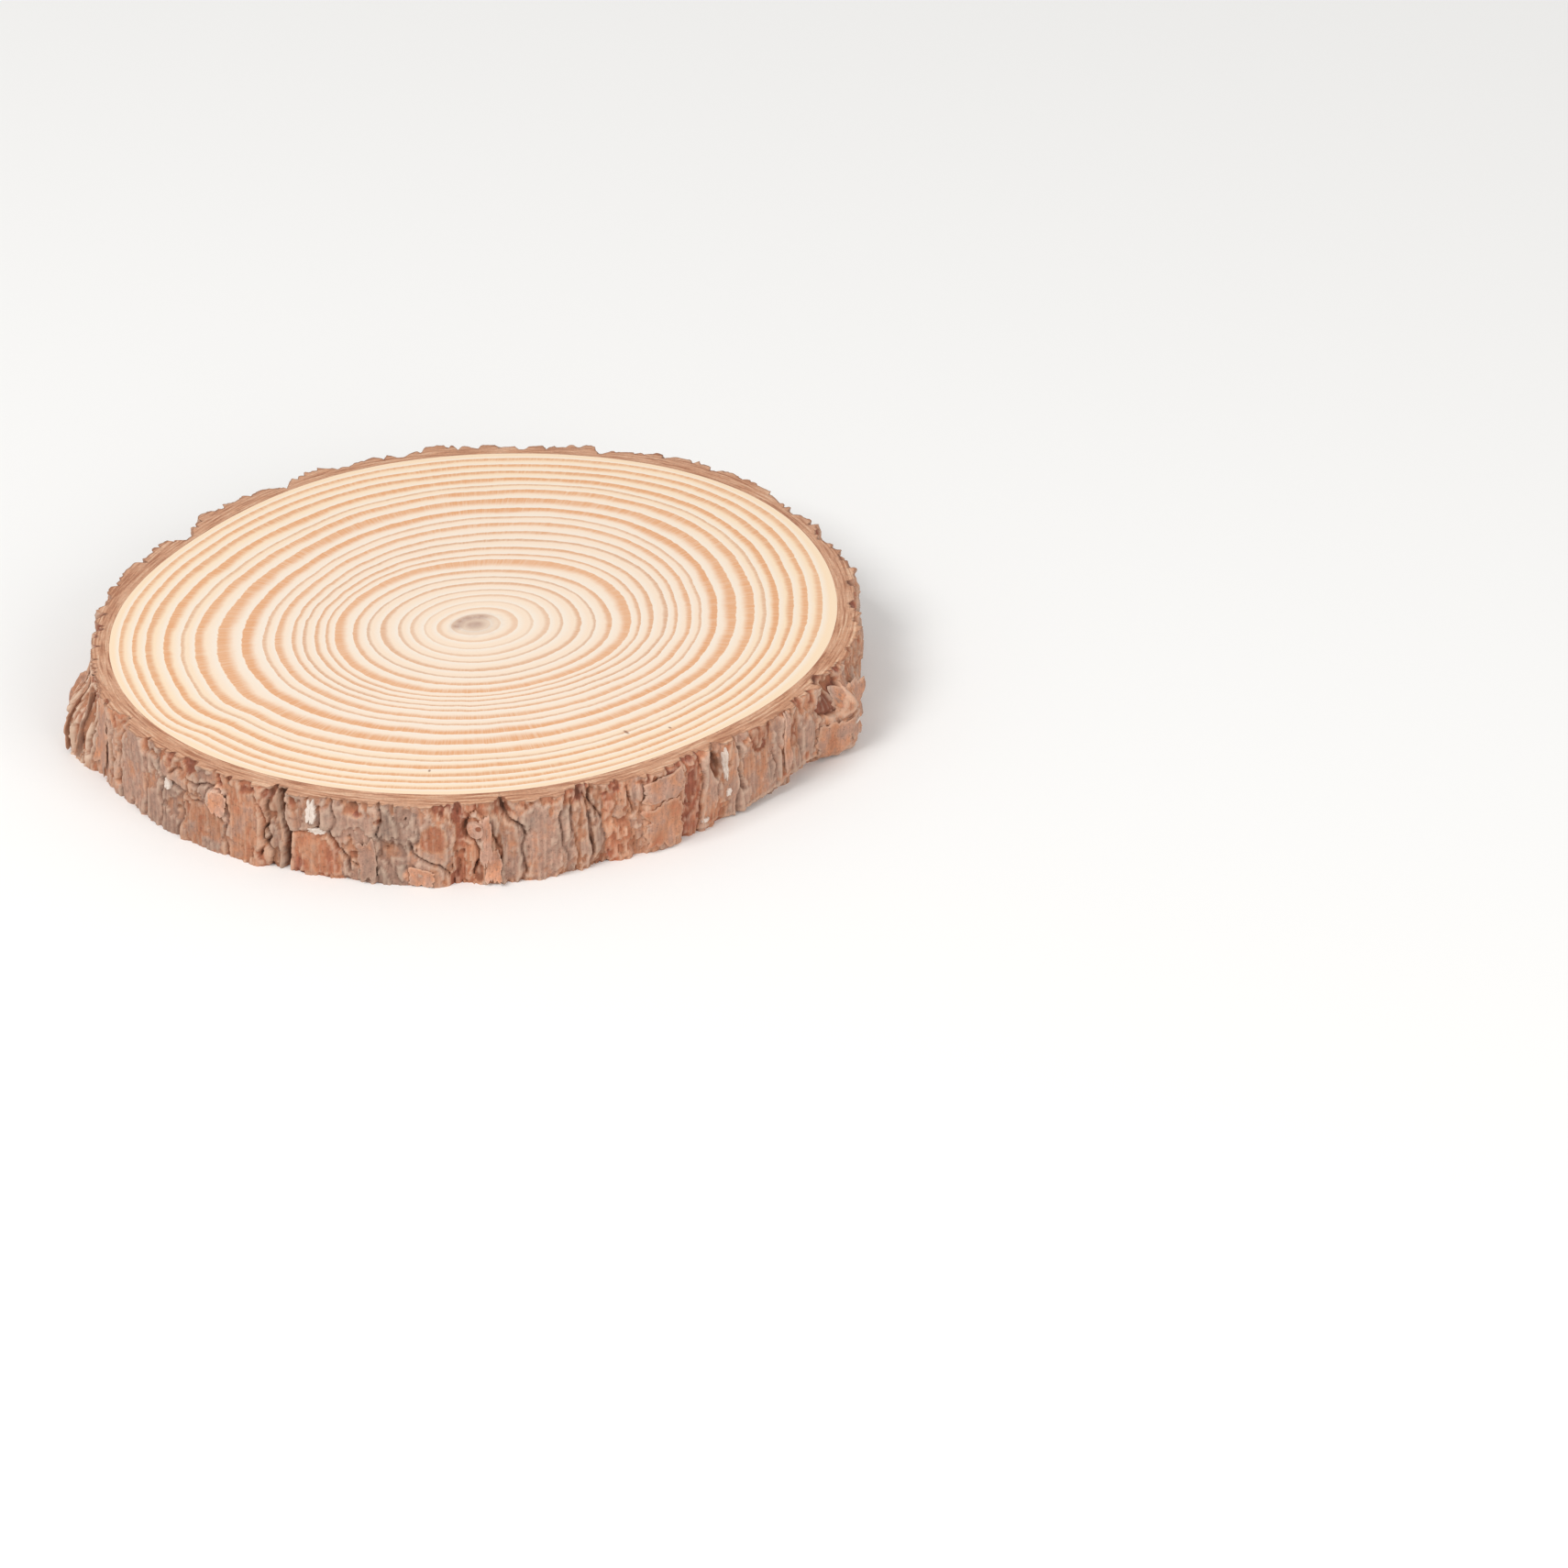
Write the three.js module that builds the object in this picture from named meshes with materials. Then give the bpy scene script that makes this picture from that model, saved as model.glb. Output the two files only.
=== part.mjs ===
import * as THREE from 'three';

// A sawn slice of a pine branch, lying flat: a disc of pale wood, and the ring of plated bark round it.
// Millimetres, +Z up. The origin is at the middle of the slice's lowest face. Azimuth 0 is +X and 90 is +Y.

// Driving dimensions of the cut.
const THICKNESS = 15.6;
const WOOD_RADIUS = 63.4;
const SEAM = 0.3; // the narrow gap between the wood and the bark
const PITH = [0.72, -2.84]; // where the tree began to grow, beside the slice's own middle

// How the wood's outline departs from a circle: waves in one turn, their height, and the first crest's azimuth.
const WOOD_LOBES = [[1, 3.4, 77], [2, 3.4, 44], [3, 0.25, 72], [4, 0.25, 14], [5, 0.3, 51], [6, 0.25, 50]];

// Driving dimensions of the bark.
const BARK_BASE = 2.3; // under the deepest plate
const PLATE_RISE = 2.7; // from a sunken plate to the proudest one
const PLATE_CROWN = 0.25; // how much a plate's middle stands above its rim
const PLATE_TILT = 0.55; // how much more one edge of a plate stands out than its middle, at most
const FISSURE_DEPTHS = [0.35, 2]; // the shallowest and the deepest
const FISSURE_WIDTH = 2;
const BARK_THINNEST = 1.1;

// The fissures wander in waves. For each: how far in mm, radians for each mm of height, and waves in a turn.
const FISSURE_WANDERS = [[1, 0.42, 7], [0.6, 1.05, -16]];

// The mesh: points and columns round the slice, and the heights of the bark's rows, as shares of the thickness.
const WOOD_POINTS = 120;
const COLUMNS = 300;
const ROWS = [0, 0.08, 0.21, 0.35, 0.49, 0.63, 0.77, 0.9, 1];

// The bark plates of the front: azimuth, the middle's height, half width, half height, and how proud it stands.
const FRONT_PLATES = [
  [191, 8, 4.5, 9, 0.9], [197.5, 7, 3.2, 9, 0.8], [203.5, 8.5, 3.2, 8, 0.85], [208, 9, 1.6, 8, 0.75],
  [213.3, 8, 3.9, 9, 0.8], [218.6, 7, 2.1, 9, 0.75], [222.8, 4.5, 2.3, 5, 0.6], [223.5, 12.5, 2.8, 3, 0.55],
  [228.5, 4, 4.4, 5, 0.85], [232, 9.6, 1.9, 2.4, 0.8], [228.5, 12, 2.6, 2.2, 0.7], [236.7, 6.5, 3.4, 8.5, 0.75],
  [241.5, 7, 1.4, 7, 0.3], [246, 12.3, 2.6, 3.4, 1], [247.5, 4, 4, 4.6, 0.6], [249.8, 12, 1.3, 3, 0.7],
  [254.5, 8, 3.6, 8.5, 0.8], [260, 6, 2.6, 8, 0.75], [262.5, 11.5, 1.9, 2.6, 0.85], [266.6, 8, 3.6, 8, 0.95],
  [270.6, 6, 1.6, 8, 0.35], [272.4, 11, 1.5, 1.8, 1], [274.4, 4.5, 1.5, 5, 0.95], [277.6, 7, 2.7, 6.5, 0.7],
  [282.6, 8, 4.6, 9, 0.95], [287, 8, 1.3, 8.5, 0.65], [289.6, 7.5, 1.7, 7, 0.7], [292.3, 8, 1.5, 8, 0.5],
  [294.3, 12.3, 1, 3.2, 0.45], [295.6, 4.5, 2.9, 4.2, 0.6], [296.6, 12, 1.3, 3.2, 0.75],
  [299.4, 7, 1.2, 7, 0.5], [304.2, 8, 4.7, 7, 0.95], [309.9, 8, 2, 7.5, 0.25], [313.4, 8, 2.2, 8, 0.8],
  [317.8, 7, 2.3, 8, 0.65], [321.8, 13.3, 1.5, 2.5, 0.85], [324.8, 13.2, 1.8, 2.6, 0.5],
  [325, 6, 4.8, 6, 0.9], [330.5, 9.5, 1.4, 7, 0.8], [333, 8.5, 1.6, 8, 0.75], [336.8, 9.5, 2.6, 7, 0.75],
  [342.3, 14.4, 2, 1.3, 0.25], [342.2, 11, 2.6, 1.7, 0.4], [344, 5, 5.6, 4.8, 0.9], [350.5, 10, 3.2, 7, 0.75],
  [357, 8, 3.6, 8.5, 0.9],
];

// The plates of the back follow a rule with a seeded draw, from one end of the front plates round to the other.
const BACK_START = 360.5;
const BACK_END = 546;
const BACK_SEED = 7;
const BACK_WIDTH = [3.4, 12]; // narrowest and widest
const BACK_PROUD = [0.15, 1];
const SPLIT_SHARE = 0.6; // of the back's plates, the share that is broken into a lower and an upper one

// Where the bark is thicker or thinner over a longer stretch: azimuth, half width in degrees, and difference.
const SWELLS = [[57, 14, 1], [87, 9, -0.7], [111, 7, -1.3], [136, 12, 1.2], [163, 9, -0.5], [190, 12, 0.6],
  [38, 8, -1], [292, 8, -0.5], [318, 12, -0.4]];

// At each end a plate flares out towards the lower face.
const FLARES = [
  { azimuth: 194, halfWidth: 9, rise: 3.2, fullBelow: 6, noneAbove: 13 },
  { azimuth: 346, halfWidth: 8, rise: 2.9, fullBelow: 9, noneAbove: 14 },
];

// Notches broken into the upper edge: azimuth, half width, depth, and how far down the side they reach.
const NOTCHES = [[209.6, 1.2, 1.6, 4], [242.6, 1.1, 1.4, 8], [254.4, 1, 1, 3], [276.8, 1.1, 1.4, 4],
  [290.3, 1.5, 2.6, 4.5], [315.2, 1.3, 2, 7], [320.6, 1.3, 1.4, 3], [343, 1.6, 1.6, 4], [28, 2, 1.8, 6],
  [72, 1.5, 2, 5], [103, 1.6, 1.6, 6], [124, 1.4, 1.8, 5], [147, 1.8, 2, 6], [171, 1.5, 1.6, 5]];

// The lower edge is broken away over one stretch of the front, up to this height and this deep.
const BROKEN_EDGE = { azimuth: 333, halfWidth: 18, height: 2.4, depth: 1.7 };

const radians = THREE.MathUtils.degToRad;

// The shorter way round from one azimuth to another, in degrees, with its sign.
function turnBetween(from, to) {
  return ((to - from + 540) % 360) - 180;
}

// 1 at the middle of a stretch of bark, falling smoothly to 0 at its ends.
function hump(azimuth, middle, halfWidth) {
  const share = Math.min(1, Math.abs(turnBetween(middle, azimuth)) / halfWidth);
  return 0.5 + 0.5 * Math.cos(Math.PI * share);
}

// A repeatable draw of numbers from 0 to 1.
function seededDraw(seed) {
  let state = seed;
  return () => {
    state = (state * 1664525 + 1013904223) % 4294967296;
    return state / 4294967296;
  };
}

// The wood's radius from the pith.
function woodRadius(azimuth) {
  return WOOD_LOBES.reduce(
    (radius, [count, height, crest]) => radius + height * Math.cos(radians(count * (azimuth - crest))),
    WOOD_RADIUS);
}

// The back's plates: a row of columns, some of them broken across into two.
function makeBackPlates() {
  const draw = seededDraw(BACK_SEED);
  const between = ([low, high]) => low + (high - low) * draw();
  const degreesPerMm = 180 / (Math.PI * (WOOD_RADIUS + BARK_BASE + PLATE_RISE));
  const plates = [];
  let azimuth = BACK_START;
  while (azimuth < BACK_END) {
    const width = between(BACK_WIDTH);
    const middle = azimuth + (width * degreesPerMm) / 2;
    if (draw() < SPLIT_SHARE) {
      const split = THICKNESS * (0.35 + 0.3 * draw());
      plates.push([middle, split / 2, width / 2, split / 2, between(BACK_PROUD)]);
      plates.push([middle, (split + THICKNESS) / 2, width / 2, (THICKNESS - split) / 2, between(BACK_PROUD)]);
    } else {
      plates.push([middle, THICKNESS / 2, width / 2, THICKNESS * 0.55, between(BACK_PROUD)]);
    }
    azimuth += width * degreesPerMm;
  }
  return plates;
}

const PLATES = [...FRONT_PLATES, ...makeBackPlates()].map(
  ([azimuth, height, halfWidth, halfHeight, proud], number) => (
    { number, azimuth, height, halfWidth, halfHeight, proud }));

// A fixed number from 0 to 1 for a pair of whole numbers, whichever comes first.
function pairDraw(a, b) {
  const mixed = Math.sin(Math.min(a, b) * 12.9898 + Math.max(a, b) * 78.233) * 43758.5453;
  return mixed - Math.floor(mixed);
}

// Where a point of the side lies on a plate, as shares of the plate's half width and half height.
function placeOn(plate, azimuth, z) {
  const mmPerDegree = radians(woodRadius(azimuth) + BARK_BASE);
  const wander = FISSURE_WANDERS.reduce(
    (sum, [width, up, round]) => sum + width * Math.sin(up * z + radians(round * azimuth)), 0);
  const across = (turnBetween(plate.azimuth, azimuth) * mmPerDegree + wander) / plate.halfWidth;
  const along = (z - plate.height) / plate.halfHeight;
  return { plate, across, along, distance: Math.cbrt(Math.abs(across) ** 3 + Math.abs(along) ** 3) };
}

// The two plates nearest to a point of the side.
function platesAt(azimuth, z) {
  let nearest = { distance: Infinity };
  let next = { distance: Infinity };
  for (const plate of PLATES) {
    const place = placeOn(plate, azimuth, z);
    if (place.distance < nearest.distance) {
      next = nearest;
      nearest = place;
    } else if (place.distance < next.distance) {
      next = place;
    }
  }
  return [nearest, next];
}

// How much the flaring plates stand out, here.
function flareRise(azimuth, z) {
  return FLARES.reduce((sum, flare) => {
    const downwards = 1 - THREE.MathUtils.smoothstep(z, flare.fullBelow, flare.noneAbove);
    return sum + flare.rise * downwards * hump(azimuth, flare.azimuth, flare.halfWidth);
  }, 0);
}

// How deep the upper edge's notches and the broken lower edge cut in, here.
function brokenDepth(azimuth, z) {
  const mmPerDegree = radians(WOOD_RADIUS + BARK_BASE);
  let depth = 0;
  for (const [middle, halfWidth, cut, reach] of NOTCHES) {
    const down = 1 - THREE.MathUtils.smoothstep(THICKNESS - z, reach * 0.3, reach);
    depth = Math.max(depth, cut * down * hump(azimuth, middle, (halfWidth * 2) / mmPerDegree));
  }
  const height = BROKEN_EDGE.height * hump(azimuth, BROKEN_EDGE.azimuth, BROKEN_EDGE.halfWidth);
  return z < height ? Math.max(depth, BROKEN_EDGE.depth) : depth;
}

// The bark's outer radius from the pith: plates at their own heights, parted by fissures, on bark that swells.
function barkRadius(azimuth, z) {
  const [nearest, next] = platesAt(azimuth, z);
  const { plate, across, along, distance } = nearest;
  const crown = PLATE_CROWN * (1 - Math.min(1, distance) ** 2);
  const tiltAcross = (pairDraw(plate.number, 101) * 2 - 1) * PLATE_TILT * THREE.MathUtils.clamp(across, -1, 1);
  const tiltAlong = (pairDraw(plate.number, 202) * 2 - 1) * PLATE_TILT * THREE.MathUtils.clamp(along, -1, 1);
  const surface = BARK_BASE + PLATE_RISE * plate.proud + crown + tiltAcross + tiltAlong;
  const toFissure = (next.distance - distance) * Math.min(plate.halfWidth, next.plate.halfWidth) * 0.5;
  const depth = THREE.MathUtils.lerp(...FISSURE_DEPTHS, pairDraw(plate.number, next.plate.number));
  const fissure = depth * (1 - THREE.MathUtils.smoothstep(toFissure, 0, FISSURE_WIDTH / 2));
  const swell = SWELLS.reduce((sum, [middle, half, mm]) => sum + mm * hump(azimuth, middle, half), 0);
  const thickness = surface - fissure + swell + flareRise(azimuth, z) - brokenDepth(azimuth, z);
  return woodRadius(azimuth) + SEAM + Math.max(BARK_THINNEST, thickness);
}

function makeMaterial(color, roughness) {
  return new THREE.MeshStandardMaterial({ color, roughness, metalness: 0 });
}

// The disc of wood: its outline, raised through the slice's thickness.
function makeWoodDisc() {
  const outline = new THREE.Shape();
  for (let i = 0; i < WOOD_POINTS; i += 1) {
    const azimuth = (360 * i) / WOOD_POINTS;
    const radius = woodRadius(azimuth);
    const x = radius * Math.cos(radians(azimuth));
    const y = radius * Math.sin(radians(azimuth));
    if (i === 0) outline.moveTo(x, y);
    else outline.lineTo(x, y);
  }
  outline.closePath();
  const geometry = new THREE.ExtrudeGeometry(outline, { depth: THICKNESS, steps: 1, bevelEnabled: false });
  return new THREE.Mesh(geometry, makeMaterial(0xf3dfbe, 0.65));
}

// The ring of bark: a turned ring, whose inner wall then follows the wood and whose outside follows the plates.
function makeBarkRing() {
  const innerMark = 1;
  const outerMark = 2;
  const outside = ROWS.map((share) => new THREE.Vector2(outerMark, share * THICKNESS));
  const profile = [new THREE.Vector2(innerMark, 0), ...outside, new THREE.Vector2(innerMark, THICKNESS),
    new THREE.Vector2(innerMark, 0)];
  const geometry = new THREE.LatheGeometry(profile, COLUMNS).rotateX(Math.PI / 2);
  const position = geometry.attributes.position;
  for (let i = 0; i < position.count; i += 1) {
    const onOutside = Math.hypot(position.getX(i), position.getY(i)) > (innerMark + outerMark) / 2;
    const turn = Math.round((Math.atan2(position.getY(i), position.getX(i)) * COLUMNS) / (2 * Math.PI));
    const azimuth = (360 * ((turn + COLUMNS) % COLUMNS)) / COLUMNS;
    const z = THREE.MathUtils.clamp(position.getZ(i), 0, THICKNESS);
    const radius = onOutside ? barkRadius(azimuth, z) : woodRadius(azimuth) + SEAM;
    position.setXYZ(i, radius * Math.cos(radians(azimuth)), radius * Math.sin(radians(azimuth)), z);
  }
  return new THREE.Mesh(geometry, makeMaterial(0xa77a5e, 0.9));
}

const woodDisc = makeWoodDisc();
woodDisc.name = 'wood_disc';

const barkRing = makeBarkRing();
barkRing.name = 'bark_ring';

const slice = new THREE.Group();
slice.position.set(PITH[0], PITH[1], 0);
slice.add(woodDisc, barkRing);

export default slice;
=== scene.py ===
# %% [markdown]
# # A slice of pine branch
# A branch as thick as a saucer is sawn across, and its bark stays on. The cut shows pale wood with a ring for
# each year. Round it stands the bark, which grows in layers and flakes off in plates, so no two of its edges
# line up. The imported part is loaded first, as a frame that fixes where everything goes. All of Blender's
# lengths are metres.

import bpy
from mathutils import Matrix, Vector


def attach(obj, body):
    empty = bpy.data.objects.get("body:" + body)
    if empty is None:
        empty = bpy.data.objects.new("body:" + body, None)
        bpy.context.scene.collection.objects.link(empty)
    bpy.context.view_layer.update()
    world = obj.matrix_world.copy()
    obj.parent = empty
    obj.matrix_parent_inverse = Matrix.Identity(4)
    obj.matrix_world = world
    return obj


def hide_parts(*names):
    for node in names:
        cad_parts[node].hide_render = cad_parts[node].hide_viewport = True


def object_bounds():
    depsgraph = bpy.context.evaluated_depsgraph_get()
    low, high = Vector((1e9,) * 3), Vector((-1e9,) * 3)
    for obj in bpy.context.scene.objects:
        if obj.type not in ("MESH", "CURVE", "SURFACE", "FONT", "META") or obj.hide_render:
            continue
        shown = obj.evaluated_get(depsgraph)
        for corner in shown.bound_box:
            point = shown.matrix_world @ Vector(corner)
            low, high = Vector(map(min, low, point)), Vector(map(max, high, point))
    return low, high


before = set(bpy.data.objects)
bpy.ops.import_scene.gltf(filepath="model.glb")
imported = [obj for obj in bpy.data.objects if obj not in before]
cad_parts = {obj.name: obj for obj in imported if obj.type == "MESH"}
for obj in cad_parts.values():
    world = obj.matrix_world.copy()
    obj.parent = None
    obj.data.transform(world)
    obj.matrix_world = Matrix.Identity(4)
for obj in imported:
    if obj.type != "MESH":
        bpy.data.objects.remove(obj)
cad_box = [list(corner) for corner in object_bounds()]
print("nodes in the frame:", sorted(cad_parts))

# %% Tools and units
import math
from functools import partial

import bmesh
import bpy
import numpy as np
from mathutils import Vector, noise

MM = 0.001
THICKNESS = 15.6
PITH = (0.72, -2.84)  # where the branch began to grow, beside the middle of the slice

# %% [markdown]
# ## Camera
# The slice is seen from in front and above, through a long lens, so its far edge looks almost as wide as its
# near one. A long lens far away keeps a flat thing calm; a short one close by would make it bulge.

# %% Camera
CAMERA_FROM_PITH = (55.4, -1142.9, 633.6)
CAMERA_DOWN = 29.64  # degrees below level

lens = bpy.data.cameras.new("long_lens")
lens.lens = 168.4
lens.sensor_width = 36
lens.clip_end = 20
camera = bpy.data.objects.new("camera", lens)
camera.location = (Vector(CAMERA_FROM_PITH) + Vector((*PITH, 0))) * MM
camera.rotation_euler = (math.radians(90 - CAMERA_DOWN), 0, 0)
bpy.context.scene.collection.objects.link(camera)
bpy.context.scene.camera = camera
print("the camera stands", round(camera.location.length, 2), "m away")

# %% [markdown]
# ## Helpers for materials
# A colour is written as on the web, in hex, which is how eyes and screens count it. Light adds up in another
# scale, the linear one, so one function turns the first into the second. Another adds a node with its
# settings and links. A socket goes by its name, or by its number where several share a name: the colours of a
# Mix node are its inputs 6 and 7 and its output 2.

# %% Colour and node helpers
def linear(hex_colour):
    """The linear colour of an sRGB hex value such as 'F8E2CB'."""
    parts = [int(hex_colour[i:i + 2], 16) / 255 for i in (0, 2, 4)]
    return [p / 12.92 if p <= 0.04045 else ((p + 0.055) / 1.055) ** 2.4 for p in parts] + [1]


def add(tree, kind, inputs=None, out=0, **settings):
    """Adds a node with its settings and inputs, each a value or another output, and returns an output."""
    made = tree.nodes.new("ShaderNode" + kind)
    for name, value in settings.items():
        setattr(made, name, value)
    for name, value in (inputs or {}).items():
        if isinstance(value, bpy.types.NodeSocket):
            tree.links.new(value, made.inputs[name])
        else:
            made.inputs[name].default_value = value
    return made.outputs[out]


def new_material(name, roughness, ior=1.5):
    """A material, its shader, and a function that adds nodes to it."""
    material = bpy.data.materials.new(name)
    material.use_nodes = True
    shader = material.node_tree.nodes["Principled BSDF"]
    shader.inputs["Roughness"].default_value = roughness
    shader.inputs["IOR"].default_value = ior
    return material, shader, partial(add, material.node_tree)


def give_looks(shader, colour, relief, strength, depth_mm):
    """Gives a shader its colour, and a pattern of heights as bumps of a depth in mm."""
    tree = shader.id_data
    tree.links.new(colour, shader.inputs["Base Color"])
    bump = add(tree, "Bump", {"Height": relief, "Strength": strength, "Distance": depth_mm * MM})
    tree.links.new(bump, shader.inputs["Normal"])
    print("the material has", len(tree.nodes), "nodes")


# %% [markdown]
# ## Floor and light
# A thing this small is photographed on a pale sheet under big soft lamps. A large lamp from the left gives
# the bark its shadows, and a pale sky from all round fills them.

# %% Floor
FLOOR_REACH = 6.0

floor_mesh = bpy.data.meshes.new("floor")
sheet = bmesh.new()
bmesh.ops.create_grid(sheet, x_segments=1, y_segments=1, size=FLOOR_REACH)
sheet.to_mesh(floor_mesh)
sheet.free()
floor = bpy.data.objects.new("floor", floor_mesh)
bpy.context.scene.collection.objects.link(floor)

paper, paper_shader, _ = new_material("matte_paper", 0.9)
paper_shader.inputs["Base Color"].default_value = linear("F2F1EF")
paper_shader.inputs["Specular IOR Level"].default_value = 0.1
floor_mesh.materials.append(paper)

# %% Light
SKY_STRENGTH = 0.6

world = bpy.data.worlds.new("soft_studio")
world.use_nodes = True
world.node_tree.nodes["Background"].inputs["Color"].default_value = linear("FFFFFF")
world.node_tree.nodes["Background"].inputs["Strength"].default_value = SKY_STRENGTH
bpy.context.scene.world = world
bpy.context.scene.view_settings.view_transform = "Standard"


def add_lamp(name, place, size, watts):
    """A square soft lamp at a place in metres, turned to the slice."""
    lamp = bpy.data.lights.new(name, "AREA")
    lamp.size = size
    lamp.energy = watts
    holder = bpy.data.objects.new(name, lamp)
    holder.location = place
    holder.rotation_euler = (-Vector(place)).to_track_quat("-Z", "Y").to_euler()
    bpy.context.scene.collection.objects.link(holder)
    print(name, "stands", round(holder.location.length, 2), "m away")


add_lamp("key_lamp", (-0.75, -0.75, 1.15), 0.7, 14)
add_lamp("front_lamp", (0.8, -1.05, 0.55), 0.9, 7)

# %% [markdown]
# ## A sheet of squares, rolled up
# Both the wood and the bark are closed rings. Each is made like a paper tube: a flat sheet of small squares
# gets a column for each direction round the branch and a row for each step along its section. Moving the
# points rolls it up, and merging the ones that meet closes it. A spin would give the same squares, and take
# far longer at this size.

# %% Rolled sheets
def flat_sheet(columns, rows, count=1):
    """A mesh of one or more flat sheets of squares, one after another, and each point's column and row."""
    mesh = bpy.data.meshes.new("sheet")
    squares = bmesh.new()
    for _ in range(count):
        bmesh.ops.create_grid(squares, x_segments=columns, y_segments=rows, size=1)
    squares.to_mesh(mesh)
    squares.free()
    places = np.zeros(len(mesh.vertices) * 3)
    mesh.vertices.foreach_get("co", places)
    shares = (places.reshape(-1, 3) + 1) / 2
    return mesh, np.rint(shares[:, 0] * columns).astype(int), np.rint(shares[:, 1] * rows).astype(int)


def close_up(mesh, places_mm, sharp_degrees):
    """Moves a sheet's points to their places, merges those that meet, and turns the faces outwards."""
    mesh.vertices.foreach_set("co", (places_mm * MM).ravel())
    surface = bmesh.new()
    surface.from_mesh(mesh)
    bmesh.ops.remove_doubles(surface, verts=surface.verts, dist=1e-7)
    bmesh.ops.recalc_face_normals(surface, faces=surface.faces)
    open_edges = sum(1 for edge in surface.edges if not edge.is_manifold)
    surface.to_mesh(mesh)
    surface.free()
    mesh.shade_smooth()
    mesh.set_sharp_from_angle(angle=math.radians(sharp_degrees))
    print(mesh.name, "has", len(mesh.polygons), "faces and", open_edges, "open edges")


def keep_attributes(mesh, domain="POINT", **attributes):
    """Stores numbers for each point or face of a mesh, by name, for its material to read."""
    for name, values in attributes.items():
        made = mesh.attributes.new(name, "FLOAT", domain)
        made.data.foreach_set("value", values.astype(np.float32))


def show(name, mesh, node, slot, *materials):
    """Puts a finished mesh in the scene, in place of a node of the frame."""
    mesh.name = name
    for material in materials:
        mesh.materials.append(material)
    piece = bpy.data.objects.new(name, mesh)
    bpy.context.scene.collection.objects.link(piece)
    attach(piece, "root")
    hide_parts(node)
    print(name, "takes the place of", node)


# %% [markdown]
# ## The wood
# A pine adds a ring each year: soft pale earlywood in spring, then a band of dense, darker latewood that
# stops abruptly when winter comes. The cut face is flat, so the rings are colour and not shape. They still
# have to follow the wood, so each row of the mesh lies on a ring, and each point knows how many years from
# the pith it is.

# %% The wood's outline
WOOD_RADIUS = 63.4
# Waves in one turn, their height in mm, and the first crest's azimuth.
WOOD_LOBES = ((1, 3.4, 77), (2, 3.4, 44), (3, 0.25, 72), (4, 0.25, 14), (5, 0.3, 51), (6, 0.25, 50))
SEAM = 0.3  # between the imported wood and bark, which meet in its middle here


def wood_radius(azimuth):
    """The wood's radius from the pith at an azimuth in degrees."""
    waves = (height * np.cos(np.radians(count * (azimuth - crest))) for count, height, crest in WOOD_LOBES)
    return WOOD_RADIUS + sum(waves)


# %% The years
# A row for each year, from the pith outwards: the ring's width, its latewood's width, and how dark that is.
YEARS = (
    (2.5, 0.5, 0.15), (1.6, 0.5, 0.3), (2.7, 1.1, 0.5), (2.5, 0.6, 0.4), (2.7, 1.0, 0.6), (2.2, 0.7, 0.7),
    (3.1, 1.2, 0.85), (2.4, 0.7, 0.8), (2.7, 1.2, 0.85), (3.4, 2.0, 0.85), (1.7, 0.7, 0.85), (2.1, 0.9, 0.9),
    (2.3, 0.8, 0.9), (2.1, 0.9, 0.85), (2.9, 1.4, 0.85), (2.1, 0.8, 0.75), (3.3, 1.9, 1.0), (3.8, 2.4, 0.9),
    (3.5, 1.9, 0.9), (2.2, 0.8, 0.75), (2.7, 1.5, 1.0), (3.0, 1.4, 0.95), (2.4, 1.2, 0.9), (2.3, 1.1, 0.8),
    (1.7, 0.0, 0.0),
)
ring_widths, late_widths, late_darks = np.array(YEARS).T
YEAR_ENDS = np.concatenate([[0], np.cumsum(ring_widths)])
YEAR_SHARES = YEAR_ENDS / YEAR_ENDS[-1]
print(len(YEARS), "years, and the last row ends at", round(float(YEAR_ENDS[-1]), 1), "mm")

# How the rings leave the outline's shape. Each row: the share of the radius, then for one, two, three and
# four waves in a turn their height, as a share of the radius, and a crest's azimuth.
RING_WAVES = np.array((
    (0.00, 0.010, 18, 0.000, 8, 0.000, 24, 0.000, 55),
    (0.10, 0.016, -12, 0.006, 8, 0.000, 24, 0.000, 55),
    (0.20, 0.026, -25, 0.006, -5, 0.002, 24, 0.001, 55),
    (0.30, 0.033, -42, 0.010, -15, 0.002, 15, 0.001, 55),
    (0.35, 0.036, -44, 0.010, -15, 0.004, 8, 0.002, 55),
    (0.43, 0.032, -32, 0.008, 3, 0.004, 5, 0.004, 53),
    (0.50, 0.034, -8, 0.008, 20, 0.003, -14, 0.004, 50),
    (0.54, 0.035, 2, 0.004, 35, 0.005, -32, 0.005, 54),
    (0.61, 0.032, 2, 0.005, 78, 0.008, 83, 0.004, 55),
    (0.72, 0.017, -7, 0.006, 71, 0.009, 83, 0.004, 50),
    (0.81, 0.013, -37, 0.006, 67, 0.009, 76, 0.003, 50),
    (0.85, 0.006, -77, 0.005, 67, 0.006, 76, 0.004, 53),
    (0.90, 0.007, -134, 0.004, 71, 0.005, 69, 0.006, 47),
    (0.97, 0.005, 172, 0.004, 75, 0.003, 56, 0.004, 46),
    (1.00, 0.000, 172, 0.000, 75, 0.000, 56, 0.000, 46),
))
# A healed wound leaves a kink in the outer rings: a crest, a steep fall, and a slow rise.
KINK_AZIMUTH = 222
KINK_DEPTH, KINK_FALL, KINK_RISE = 0.018, 4, 11  # a share of the radius, and degrees to either side
KINK_CREST, CREST_BEFORE, CREST_WIDTH = 0.011, 10, 7
RIPPLE = 0.0035
KINK_SHARES = ((0.68, 0.76, 0.85, 0.92, 0.97, 1), (0, 0.6, 0.8, 1, 0.7, 0))


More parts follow.
